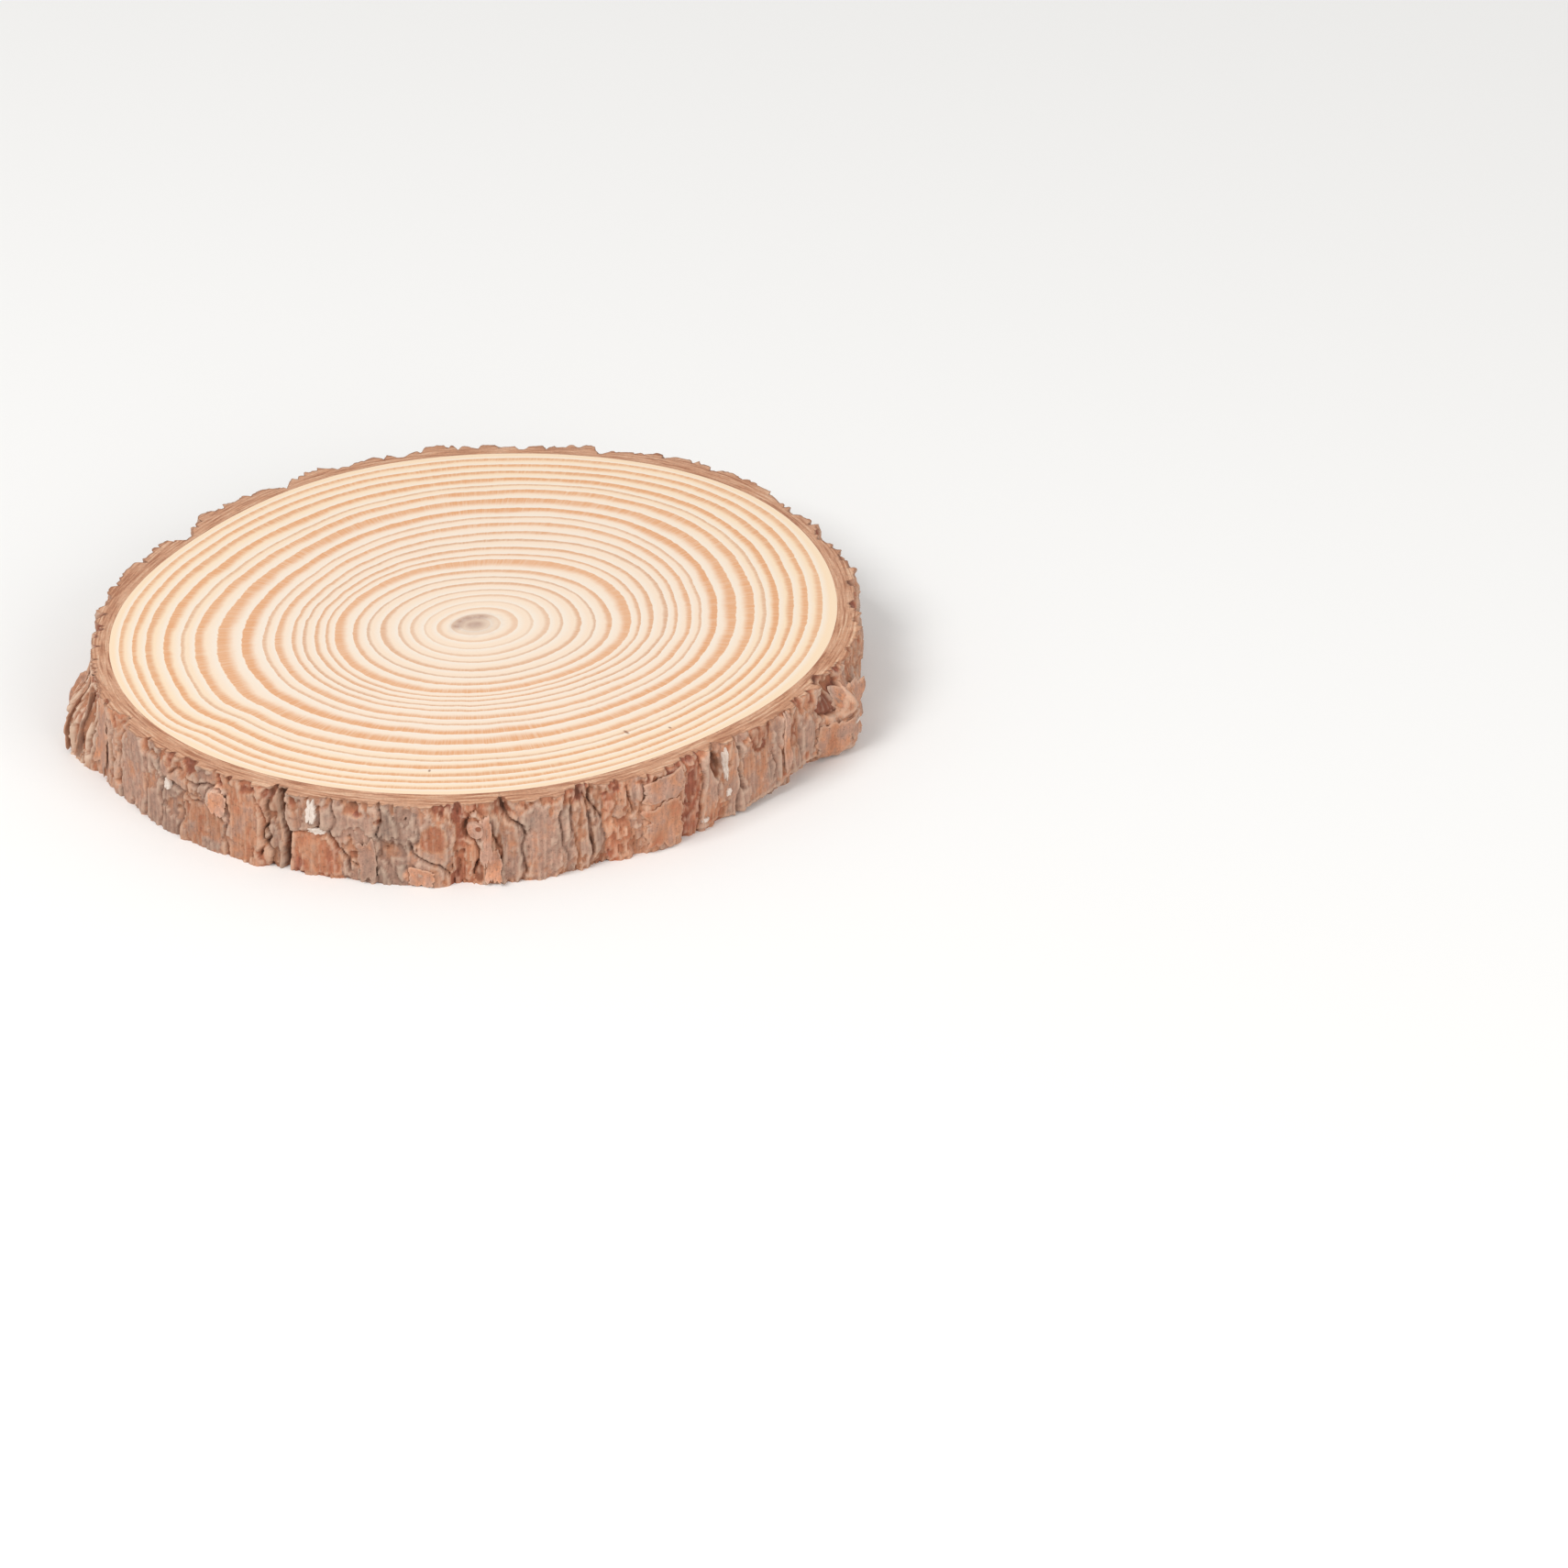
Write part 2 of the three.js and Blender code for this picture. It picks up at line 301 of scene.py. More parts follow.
def wave(share, column, count, azimuth):
    """One of the rings' waves at a share of the radius, between the rows of the table."""
    heights, crests = RING_WAVES[:, column], np.radians(RING_WAVES[:, column + 1]) * count
    along = np.interp(share, RING_WAVES[:, 0], heights * np.cos(crests))
    beside = np.interp(share, RING_WAVES[:, 0], heights * np.sin(crests))
    turn = np.radians(azimuth) * count
    return along * np.cos(turn) + beside * np.sin(turn)


def smoothstep(value, low, high):
    """0 below low, 1 above high, and a smooth rise between them."""
    share = np.clip((value - low) / (high - low), 0, 1)
    return share * share * (3 - 2 * share)


def turn_between(start, end):
    """The shorter way round from one azimuth to another, in degrees, with its sign."""
    return (end - start + 540) % 360 - 180


def ripples(share, azimuth):
    """Small ripples that neighbouring rings share, from about -1 to 1."""
    turn = np.radians(azimuth)
    places = np.column_stack([6 * np.cos(turn), 6 * np.sin(turn), 6 * share])
    return np.array([noise.fractal(place, 1.0, 2.0, 3) for place in places.tolist()])


def ring_place(share, azimuth):
    """Where a ring lies, in mm from the pith, for its share of the radius in a plain round tree."""
    off = turn_between(KINK_AZIMUTH, azimuth)
    fall = np.exp(-(off / np.where(off < 0, KINK_FALL, KINK_RISE)) ** 2)
    crest = np.exp(-((off + CREST_BEFORE) / CREST_WIDTH) ** 2)
    kink = (KINK_CREST * crest - KINK_DEPTH * fall) * np.interp(share, *KINK_SHARES)
    reach = share + kink + sum(wave(share, 2 * count - 1, count, azimuth) for count in (1, 2, 3, 4))
    reach += (RIPPLE * smoothstep(share, 0.15, 0.6) * (1 - smoothstep(share, 0.93, 1))
              * ripples(share, azimuth))
    turn = np.radians(azimuth)
    at_pith = np.interp(share, (0, 0.1), (1, 0))
    shift = at_pith * RING_WAVES[0, 1]
    reach = reach - at_pith * wave(share, 1, 1, azimuth)
    x = reach * np.cos(turn) + shift * math.cos(math.radians(RING_WAVES[0, 2]))
    y = reach * np.sin(turn) + shift * math.sin(math.radians(RING_WAVES[0, 2]))
    radius = wood_radius(np.degrees(np.arctan2(y, x))) + SEAM / 2
    return x * radius, y * radius


# %% The wood's mesh
WOOD_COLUMNS = 720
STEPS_A_YEAR = 2

growth_steps = np.linspace(0, len(YEARS), len(YEARS) * STEPS_A_YEAR + 1)
section_years = np.concatenate([growth_steps, growth_steps[::-1]])
section_heights = np.repeat([0, THICKNESS], len(growth_steps))
wood_mesh, column, row = flat_sheet(WOOD_COLUMNS, len(section_years) - 1)
azimuth = (column % WOOD_COLUMNS) * 360 / WOOD_COLUMNS
share = np.interp(section_years[row], np.arange(len(YEARS) + 1), YEAR_SHARES)
x, y = ring_place(share, azimuth)
keep_attributes(wood_mesh, growth=section_years[row])
close_up(wood_mesh, np.column_stack([x + PITH[0], y + PITH[1], section_heights[row]]), 40)

# %% Which year each face grew in
def face_means(mesh, name):
    """The mean of a point attribute over each face's points."""
    values = np.zeros(len(mesh.vertices))
    mesh.attributes[name].data.foreach_get("value", values)
    return np.array([values[list(face.vertices)].mean() for face in mesh.polygons])


face_years = np.minimum(face_means(wood_mesh, "growth").astype(int), len(YEARS) - 1)
keep_attributes(wood_mesh, "FACE", late_share=(late_widths / ring_widths)[face_years],
                late_dark=late_darks[face_years])

# %% [markdown]
# ## Sawn and sanded pine
# End grain that was sawn and sanded is matte and smooth. Earlywood is cream, latewood is a warm tan, and the
# youngest rings under the bark are a little more yellow. Fine rays run out from the pith, and the pith itself
# is a grey smear.

# %% Sawn pine
SPRINGWOOD = linear("EFE3D4")
EARLYWOOD = linear("F1DAC2")
EARLYWOOD_OUTER = linear("F2D8B8")
LATEWOOD_THIN = linear("D0A88A")
LATEWOOD = linear("DFA476")
PITH_GREY = linear("C2A997")
PITH_BROWN = linear("A87F6C")
FLECK_BROWN = linear("7D4526")
NOISE_RANGE = {"From Min": 0.3, "From Max": 0.7}  # nearly all of a noise texture's values lie between these

sawn_pine, shader, node = new_material("sawn_pine", 0.6)
place = node("TexCoord", out="Object")
from_pith = node("Mapping", {"Vector": place, "Location": (-PITH[0] * MM, -PITH[1] * MM, 0)})
growth, late_share, late_dark = (
    node("Attribute", out="Fac", attribute_name=name) for name in ("growth", "late_share", "late_dark"))

# A ring's edge wavers by a tenth of a millimetre, and its latewood comes here sooner and there later.
waver = node("TexNoise", {"Vector": from_pith, "Scale": 900, "Detail": 2})
wavered = node("Math", {0: waver, 1: 0.14, 2: growth}, operation="MULTIPLY_ADD")
wavered = node("Math", {0: wavered, 1: 0.07}, operation="SUBTRACT")
season = node("Math", {0: wavered}, operation="FRACT")
slow = node("TexNoise", {"Vector": from_pith, "Scale": 70, "Detail": 2})
wider = node("MapRange", {"Value": slow, **NOISE_RANGE, "To Min": 0.75, "To Max": 1.2})
late = node("Math", {0: late_share, 1: wider}, operation="MULTIPLY")
late_start = node("Math", {0: late, 1: -1.25, 2: 1}, operation="MULTIPLY_ADD")
late_full = node("Math", {0: late, 1: -0.45, 2: 1}, operation="MULTIPLY_ADD")
darkening = node("MapRange", {"Value": season, "From Min": late_start, "From Max": late_full},
                 interpolation_type="SMOOTHSTEP")
winter = node("MapRange", {"Value": season, "From Min": 0.95, "From Max": 1, "To Min": 1, "To Max": 0})
band = node("Math", {0: darkening, 1: winter}, operation="MULTIPLY")
band = node("Math", {0: band, 1: late_dark}, operation="MULTIPLY")

# Rays: the direction from the pith alone gives streaks that run straight outwards.
flat = node("VectorMath", {0: from_pith, 1: (1, 1, 0)}, operation="MULTIPLY")
direction = node("VectorMath", {0: flat}, operation="NORMALIZE")
ray_place = node("VectorMath", {0: direction, 1: (190, 190, 0)}, operation="MULTIPLY")
along_ray = node("VectorMath", {0: from_pith, 1: (90, 90, 40)}, operation="MULTIPLY")
ray_place = node("VectorMath", {0: ray_place, 1: along_ray}, operation="ADD")
rays = node("TexNoise", {"Vector": ray_place, "Scale": 1, "Detail": 3, "Roughness": 0.6})
ray_light = node("MapRange", {"Value": rays, **NOISE_RANGE, "To Min": 0.62, "To Max": 1.25})
band = node("Math", {0: band, 1: ray_light}, operation="MULTIPLY", use_clamp=True)

outer = node("MapRange", {"Value": growth, "From Min": 17, "From Max": 21})
early = node("Mix", {0: outer, 6: EARLYWOOD, 7: EARLYWOOD_OUTER}, out=2, data_type="RGBA")
spring = node("MapRange", {"Value": season, "From Min": 0.5, "From Max": 0.05, "To Max": 0.8})
early = node("Mix", {0: spring, 6: early, 7: SPRINGWOOD}, out=2, data_type="RGBA")
thickness_share = node("MapRange", {"Value": late_share, "From Min": 0.28, "From Max": 0.5})
late_colour = node("Mix", {0: thickness_share, 6: LATEWOOD_THIN, 7: LATEWOOD}, out=2, data_type="RGBA")
wood_colour = node("Mix", {0: band, 6: early, 7: late_colour}, out=2, data_type="RGBA")

# The pith: grey in the middle, fading into pale wood by the third year.
smear = node("TexNoise", {"Vector": from_pith, "Scale": 700, "Detail": 3})
smear_reach = node("Math", {0: smear, 1: 1.6, 2: growth}, operation="MULTIPLY_ADD")
greyness = node("MapRange",
                {"Value": smear_reach, "From Min": 1, "From Max": 3.2, "To Min": 0.55, "To Max": 0})
wood_colour = node("Mix", {0: greyness, 6: wood_colour, 7: PITH_GREY}, out=2, data_type="RGBA")

# Two brown streaks in it: one over the pith itself, one bent round it on the side away from +X.
off_arc = node("Math", {0: growth, 1: 1.35}, operation="SUBTRACT")
off_arc = node("Math", {0: off_arc}, operation="ABSOLUTE")
arc = node("MapRange", {"Value": off_arc, "From Min": 0.85, "From Max": 0.2})
beside = node("VectorMath", {0: direction, 1: (-0.6, 0.8, 0)}, out="Value", operation="DOT_PRODUCT")
beside = node("MapRange", {"Value": beside, "From Min": -0.1, "From Max": 0.45})
arc = node("Math", {0: arc, 1: beside}, operation="MULTIPLY")
centre = node("MapRange", {"Value": growth, "From Min": 0.85, "From Max": 0.35, "To Max": 0.7})
streaks = node("Math", {0: arc, 1: centre}, operation="MAXIMUM")
patchy = node("MapRange", {"Value": smear, "From Min": 0.35, "From Max": 0.65, "To Min": 0.45, "To Max": 0.9})
streaks = node("Math", {0: streaks, 1: patchy}, operation="MULTIPLY")
wood_colour = node("Mix", {0: streaks, 6: wood_colour, 7: PITH_BROWN}, out=2, data_type="RGBA")

# A few dark flecks, where a resin duct was cut. Each row: where it lies from the pith, half its length along
# a ray, and half its width.
FLECKS = ((28.2, -38.7, 0.8, 0.32), (-5.2, -52.2, 0.45, 0.25), (35.7, -37.1, 0.4, 0.25))
for x, y, half_long, half_wide in FLECKS:
    angle = math.atan2(y, x)
    turned = node("VectorRotate", {"Vector": from_pith, "Axis": (0, 0, 1), "Angle": -angle})
    middle = (math.hypot(x, y) * MM, 0, THICKNESS * MM)
    fleck = node("VectorMath", {0: turned, 1: middle}, operation="SUBTRACT")
    per_half = (1 / (half_long * MM), 1 / (half_wide * MM), 1 / MM)
    fleck = node("VectorMath", {0: fleck, 1: per_half}, operation="MULTIPLY")
    away = node("VectorMath", {0: fleck}, out="Value", operation="LENGTH")
    there = node("MapRange", {"Value": away, "From Min": 1.2, "From Max": 0.5, "To Max": 0.75})
    wood_colour = node("Mix", {0: there, 6: wood_colour, 7: FLECK_BROWN}, out=2, data_type="RGBA")

# Sanding wears the soft earlywood a little lower than the latewood.
grain = node("TexNoise", {"Vector": from_pith, "Scale": 2500, "Detail": 2})
relief = node("Math", {0: grain, 1: 0.4, 2: band}, operation="MULTIPLY_ADD")
give_looks(shader, wood_colour, relief, 0.25, 0.06)
show("pine_wood", wood_mesh, "wood_disc", "pine_wood", sawn_pine)

# %% [markdown]
# ## The bark's plates
# Pine bark is dead cork that can't stretch. As the branch thickens it splits into upright plates, and the
# plates shed thin scales, each leaving a step. The front's plates stand in a table: where each lies, how far
# it stands out, and how weathered and how pale it is. Bark that was just laid bare is red-brown, and rain and
# sun turn it grey.

# %% The front's plates
BARK_BASE = 2.3
PLATE_FOOT = 2.8  # how far a plate would stand off the wood if it weren't proud at all
PLATE_RISE = 1.85
PLATE_CROWN = 0.05
PLATE_TILT = 0.3
FISSURE_DEPTHS = (0, 0.32)
BARK_THINNEST = 1.1
# The fissures wander in waves: how far in mm, radians for each mm of height, and waves in a turn.
FISSURE_WANDERS = ((0.4, 0.42, 7), (0.25, 1.05, -16))

# Azimuth, height, half width, half height, how far it stands out, how weathered (0 to 1), how pale (-1 to 1).
FRONT_PLATES = (
    (191, 8, 4.5, 9, 0.7, 0.45, -0.1), (197.5, 7, 3.2, 9, 0.8, 0.4, -0.1),
    (203.5, 8.5, 3.2, 8, 0.85, 0.55, 0.5), (208, 9, 1.4, 8, 0.75, 0.55, 0.4),
    (213.3, 8, 3.9, 9, 0.75, 0.62, 0.3), (218.6, 7, 2.1, 9, 0.75, 0.6, -0.1),
    (222.8, 4.5, 2.3, 5, 0.65, 0.65, -0.5), (223.5, 12.5, 2.8, 3, 0.6, 0.4, 0),
    (228.5, 4, 4.4, 5, 0.8, 0.42, -0.35), (232, 9.6, 1.9, 2.4, 0.85, 0.58, 1),
    (228.5, 12, 2.6, 2.2, 0.7, 0.5, -0.5), (236.7, 6.5, 3.4, 8.5, 0.8, 0.4, 0),
    (241.5, 7, 1.4, 7, 0.4, 0.5, -0.9), (246, 12.3, 2.6, 3.4, 1, 0.65, -0.3),
    (248.2, 4, 4.8, 4.6, 0.65, 0.3, 0.2), (249.8, 12, 1.3, 3, 0.75, 0.7, 0),
    (254.5, 8, 3.6, 8.5, 0.8, 0.65, -0.1), (260, 6, 2.6, 8, 0.75, 0.75, -0.6),
    (262.5, 11.5, 1.9, 2.6, 0.85, 0.85, 0.1), (266.6, 8, 3.6, 8, 0.95, 0.55, 0),
    (270.6, 6, 1.7, 9, 0.5, 0.27, 0.3), (272.4, 11, 1.5, 1.8, 1, 0.65, 0.4),
    (274.6, 4.5, 1.5, 5, 0.95, 0.6, 0.4), (277.8, 7, 2.7, 6.5, 0.8, 0.6, -0.3),
    (283.2, 8, 4, 9, 0.95, 0.62, 0.1), (287.2, 8, 1.2, 8.5, 0.75, 0.7, 0.15),
    (289.6, 7.5, 1.7, 7, 0.7, 0.5, 0), (292.3, 8, 1.5, 8, 0.5, 0.55, -0.5),
    (294.2, 12, 1.1, 4.6, 0.55, 0.22, 0.3), (295.6, 4.5, 2.9, 4.2, 0.6, 0.3, 0.6),
    (296.6, 12, 1.3, 3.2, 0.7, 0.5, 0.2), (299.2, 7, 1.2, 7, 0.65, 0.55, 0.25),
    (304.2, 8, 4.7, 7, 0.95, 0.45, 0.3), (310, 8, 2.3, 7.5, 0.45, 0.13, 0.45),
    (313.5, 8, 2.2, 8, 0.8, 0.5, 0.5), (317.8, 7, 2.3, 8, 0.7, 0.5, 0.15),
    (321.8, 13.3, 1.5, 2.5, 0.85, 0.55, 0.3), (324.6, 13, 1.7, 2.8, 0.7, 0.15, -0.35),
    (325, 6, 4.8, 6, 0.9, 0.6, 0), (330.5, 9.5, 1.4, 7, 0.85, 0.6, 1), (333, 8.5, 1.6, 8, 0.75, 0.45, -0.35),
    (336.8, 9.5, 2.6, 7, 0.75, 0.6, 0.35), (342.3, 14.4, 2, 1.3, 0.35, 0.2, -0.5),
    (342.2, 11, 2.6, 1.7, 0.45, 0.08, -0.7), (344, 5, 5.6, 4.8, 0.9, 0.5, 0.5),
    (350.5, 10, 3.2, 7, 0.75, 0.45, 0), (357, 8, 3.6, 8.5, 0.9, 0.5, 0),
)

# %% [markdown]
# The back's plates follow a rule instead: columns of a drawn width, some broken across into a lower and an
# upper plate. The draw starts from a fixed seed, so it gives the same plates each time.

# %% The back's plates
BACK_START, BACK_END = 360.5, 546
BACK_SEED = 7
BACK_OUT = 5  # mm from the wood, where the plates' widths are measured
BACK_WIDTH = (3.4, 12)
BACK_PROUD = (0.15, 1)
SPLIT_SHARE = 0.6
DRAW_RANGE = 2 ** 32


def seeded_draws(seed):
    """An endless row of repeatable numbers from 0 to 1."""
    state = seed
    while True:
        state = (state * 1664525 + 1013904223) % DRAW_RANGE
        yield state / DRAW_RANGE


def back_plates():
    """The back's plates, in the same columns as the front's."""
    draws, looks = seeded_draws(BACK_SEED), np.random.default_rng(BACK_SEED)
    degrees_per_mm = 180 / (math.pi * (WOOD_RADIUS + BACK_OUT))
    plates = []
    azimuth = BACK_START
    while azimuth < BACK_END:
        width = BACK_WIDTH[0] + (BACK_WIDTH[1] - BACK_WIDTH[0]) * next(draws)
        middle = azimuth + width * degrees_per_mm / 2
        spans = [(THICKNESS / 2, THICKNESS * 0.55)]
        if next(draws) < SPLIT_SHARE:
            split = THICKNESS * (0.35 + 0.3 * next(draws))
            spans = [(split / 2, split / 2), ((split + THICKNESS) / 2, (THICKNESS - split) / 2)]
        for height, half_height in spans:
            proud = BACK_PROUD[0] + (BACK_PROUD[1] - BACK_PROUD[0]) * next(draws)
            weathered = np.clip(0.25 + 0.6 * proud + looks.uniform(-0.2, 0.2), 0.1, 1)
            pale = looks.uniform(-0.15, 0.3)
            plates.append((middle, height, width / 2, half_height, proud, weathered, pale))
        azimuth += width * degrees_per_mm
    return plates


PLATES = np.array(FRONT_PLATES + tuple(back_plates()))
HALF_WIDTH, PROUD, WEATHERED, PALE = 2, 4, 5, 6  # columns of it
print(len(FRONT_PLATES), "plates in front and", len(PLATES) - len(FRONT_PLATES), "at the back")

# %% Swells, flares and broken edges
# Where the bark is thicker or thinner: azimuth, half width in degrees, and mm.
SWELLS = (
    (57, 14, 1), (87, 9, -0.7), (111, 7, -1.3), (136, 12, 1.2), (163, 9, -0.5), (190, 12, 0.6), (38, 8, -1),
    (292, 8, -0.5), (318, 12, -0.4),
)
# Where its foot stands out: the same, and the heights up to which it's full and where it ends.
FLARES = ((194, 9, 3.2, 6, 13), (346, 8, 2.9, 9, 14))
# Notches in the upper edge: azimuth, half width, depth, and how far down they reach.
NOTCHES = (
    (209.6, 1.2, 1.6, 4), (242.6, 1.1, 1.4, 8), (254.4, 1, 1, 3), (276.8, 1.1, 1.4, 4), (289.5, 0.7, 1.3, 3),
    (291.2, 0.6, 1.6, 4.5), (315.2, 1.3, 2, 7), (320.6, 1.3, 1.4, 3), (343, 1.6, 1.6, 4), (28, 2, 1.8, 6),
    (72, 1.5, 2, 5), (103, 1.6, 1.6, 6), (124, 1.4, 1.8, 5), (147, 1.8, 2, 6), (171, 1.5, 1.6, 5),
)
BROKEN_EDGE = (333, 18, 2.4, 1.7)  # azimuth, half width in degrees, height, depth


def hump(azimuth, middle, half_width):
    """1 at the middle of a stretch of bark, falling smoothly to 0 at its ends."""
    share = np.minimum(1, np.abs(turn_between(middle, azimuth)) / half_width)
    return 0.5 + 0.5 * np.cos(math.pi * share)


def pair_draw(a, b):
    """A fixed number from 0 to 1 for a pair of whole numbers, whichever comes first."""
    mixed = np.sin(np.minimum(a, b) * 12.9898 + np.maximum(a, b) * 78.233) * 43758.5453
    return mixed - np.floor(mixed)


# %% [markdown]
# ## The bark's side
# The side is a map of heights: for each direction and each level, how far the bark stands out from the wood.
# Broad forms come first, then plates, cracks, scales and fibres, each a size smaller than the one before.
# Smooth noise, read at places on a cylinder so that it has no seam, keeps every edge ragged.

# %% The side's grid
BARK_COLUMNS = 1300
FRONT_SHARE = 0.6  # of the columns, so the front gets the finer mesh
SIDE_ROWS = 53
MM_PER_DEGREE = math.radians(WOOD_RADIUS + BARK_BASE)
NOISE_RADIUS = 68

column_azimuths = np.interp(np.arange(BARK_COLUMNS) / BARK_COLUMNS, (0, 1 - FRONT_SHARE, 1), (0, 180, 360))
side_azimuth, side_z = np.meshgrid(column_azimuths, np.linspace(0, THICKNESS, SIDE_ROWS + 1))
side_turn = np.radians(side_azimuth)
side_place = np.stack([NOISE_RADIUS * np.cos(side_turn), NOISE_RADIUS * np.sin(side_turn), side_z], axis=-1)


def noise_at(places, size, octaves, seed=0):
    """Smooth noise from about -1 to 1 at places in mm. Size is how wide and high its lumps are."""
    scaled = places / np.array((size[0], size[0], size[1])) + 31.7 * seed
    values = [noise.fractal(place, 1.0, 2.0, octaves) for place in scaled.reshape(-1, 3).tolist()]
    return np.array(values).reshape(places.shape[:-1])


def blurred(field, columns, rows):
    """A field averaged over a box of columns and rows; the columns go round, the rows stop at the edges."""
    total = sum(np.roll(field, step, axis=1) for step in range(-columns, columns + 1)) / (2 * columns + 1)
    padded = np.pad(total, ((rows, rows), (0, 0)), mode="edge")
    return sum(padded[step:step + len(field)] for step in range(2 * rows + 1)) / (2 * rows + 1)


# %% Plates on the side
warp = 0.5 * noise_at(side_place, (4, 6), 3, 1) + 0.25 * noise_at(side_place, (1, 1.6), 2, 2)
warp_up = 0.7 * noise_at(side_place, (4, 4), 3, 3) + 0.3 * noise_at(side_place, (1.2, 1.2), 2, 4)
wander = sum(width * np.sin(up * side_z + np.radians(turns * side_azimuth))
             for width, up, turns in FISSURE_WANDERS)
plate_azimuth, plate_z, half_width, half_height = (column.reshape(-1, 1, 1) for column in PLATES.T[:4])
mm_per_degree = np.radians(wood_radius(side_azimuth) + BARK_BASE)
across = (turn_between(plate_azimuth, side_azimuth) * mm_per_degree + wander + warp) / half_width
along = (side_z + warp_up - plate_z) / half_height
distance = np.cbrt(np.abs(across) ** 3 + np.abs(along) ** 3)
nearest, following = np.argsort(distance, axis=0)[:2]


def span(values):
    """The least and the greatest of some measures, in words."""
    return f"{values.min():.1f} to {values.max():.1f}"


def of_plate(values, plate):
    """Each point's value for one of its plates."""
    return np.take_along_axis(values, plate[None], axis=0)[0]


own_distance = of_plate(distance, nearest)
narrower = np.minimum(PLATES[nearest, HALF_WIDTH], PLATES[following, HALF_WIDTH])
to_fissure = (of_plate(distance, following) - own_distance) * narrower * 0.5
# Each plate leans a little, to one side and up or down, by draws of its own.
tilt = sum((pair_draw(nearest, key) * 2 - 1) * PLATE_TILT * np.clip(of_plate(way, nearest), -1, 1)
           for key, way in ((101, across), (202, along)))
surface = (PLATE_FOOT + PLATE_RISE * PLATES[nearest, PROUD]
           + PLATE_CROWN * (1 - np.minimum(1, own_distance) ** 2) + tilt)
fissure_depth = FISSURE_DEPTHS[0] + (FISSURE_DEPTHS[1] - FISSURE_DEPTHS[0]) * pair_draw(nearest, following)
fissure = fissure_depth * (1 - smoothstep(to_fissure, 0, 0.5))

swell = sum(mm * hump(side_azimuth, middle, half) for middle, half, mm in SWELLS)
flare = sum(rise * (1 - smoothstep(side_z, full, none)) * hump(side_azimuth, middle, half)
            for middle, half, rise, full, none in FLARES)
broken = np.zeros_like(side_z)
for middle, half, cut, reach in NOTCHES:
    down = 1 - smoothstep(THICKNESS - side_z, reach * 0.3, reach)
    beside = hump(side_azimuth + warp * 0.8, middle, half * 2 / MM_PER_DEGREE)
    broken = np.maximum(broken, cut * down * beside)
middle, half, height, depth = BROKEN_EDGE
edge_height = height * hump(side_azimuth, middle, half) * (1 + 0.5 * warp)
under = 1 - smoothstep(side_z, edge_height - 0.25, edge_height)
broken = np.maximum(broken, depth * under * (edge_height > 0.1))
print("plates reach", span(surface), "mm from the wood")

# %% [markdown]
# ## Cracks, scales and fibres
# Inside a plate the bark splits again along thin cracks, and comes off in scales. A scale's edge is a step as
# thick as cardboard, so the steps are made by rounding smooth noise down to whole layers. Fibres run upright.

# %% Cracks
# Each crack: its width and depth in mm, and the places it runs through, as azimuth and height.
CRACKS = (
    (0.6, 1.0, ((200, 13.5), (200.2, 10), (199.9, 7), (199.6, 3))),
    (0.75, 1.3, ((205, 13.8), (206, 11.5), (206.7, 9), (206.9, 6), (206.5, 3))),
    (0.6, 1.1, ((210, 15.2), (209.4, 12), (209, 8), (208.8, 5), (208.6, 2.5))),
    (0.3, 0.5, ((216.8, 7.5), (217.1, 4), (217, 1))),
    (0.5, 0.8, ((218.8, 11.5), (220.2, 9.8), (221.4, 9.3))),
    (0.4, 0.7, ((222.4, 11.6), (223.6, 12.8), (224.6, 13))),
    (0.3, 0.5, ((224.4, 9.2), (227, 8.6), (229.5, 8.9))),
    (0.4, 0.7, ((226, 12), (228, 11.6), (230, 12.6), (232.3, 12.4), (233.6, 10), (233.9, 8))),
    (0.35, 0.8, ((238.5, 13), (239.5, 10), (240, 7.5), (241, 6), (240, 4), (239.3, 2))),
    (0.8, 1.9, ((242.5, 14.5), (242.8, 11), (243.5, 8.5), (243.8, 6), (243.3, 3), (243.3, 0))),
    (0.6, 1.2, ((243.3, 9.2), (244, 8), (243.8, 6))),
    (0.4, 0.9, ((250.5, 9), (251.5, 6), (253, 4), (253.2, 1.8))),
    (0.3, 0.6, ((253, 4.1), (254.4, 2.9))),
    (0.35, 0.8, ((262.8, 8.2), (263.3, 6.5), (265.5, 4.8), (267.5, 4), (268.6, 2.2))),
    (0.5, 1.1, ((276.5, 15.5), (277, 13.5), (278, 11.8), (280, 10.8), (280.3, 9))),
    (0.3, 0.6, ((280.3, 9), (279.7, 7), (280, 4), (280.5, 1.5))),
    (0.3, 0.6, ((287.9, 14.2), (287.6, 11), (287.9, 8))),
    (0.4, 0.8, ((290.3, 14), (291, 10), (291.1, 6), (291.5, 3))),
    (0.3, 0.7, ((290.8, 13.5), (292.2, 11), (293, 9))),
    (0.3, 0.6, ((297.3, 14.5), (297.6, 12), (298.6, 9))),
    (0.35, 0.8, ((313.8, 15), (314.4, 12), (315.3, 9))),
    (0.6, 1.4, ((320, 13.2), (320, 10), (320.5, 7), (321, 5))),
    (0.35, 0.7, ((327.2, 9.5), (328, 6.5), (327.4, 4))),
    (0.4, 0.8, ((340.5, 9.5), (339, 7.5), (338.7, 6), (338, 3))),
    (0.35, 0.6, ((343.5, 7.4), (346, 7.9), (348.2, 8))),
)


def distance_to_line(points, azimuth, z):
    """The distance in mm from places on the side to a line through points given as azimuth and height."""
    nearest_yet = np.full(azimuth.shape, 99.0)
    for (start, low), (end, high) in zip(points, points[1:]):
        x, run = turn_between(start, azimuth) * MM_PER_DEGREE, (end - start) * MM_PER_DEGREE
        rise = high - low
        share = np.clip((x * run + (z - low) * rise) / (run * run + rise * rise), 0, 1)
        nearest_yet = np.minimum(nearest_yet, np.hypot(x - share * run, z - low - share * rise))
    return nearest_yet


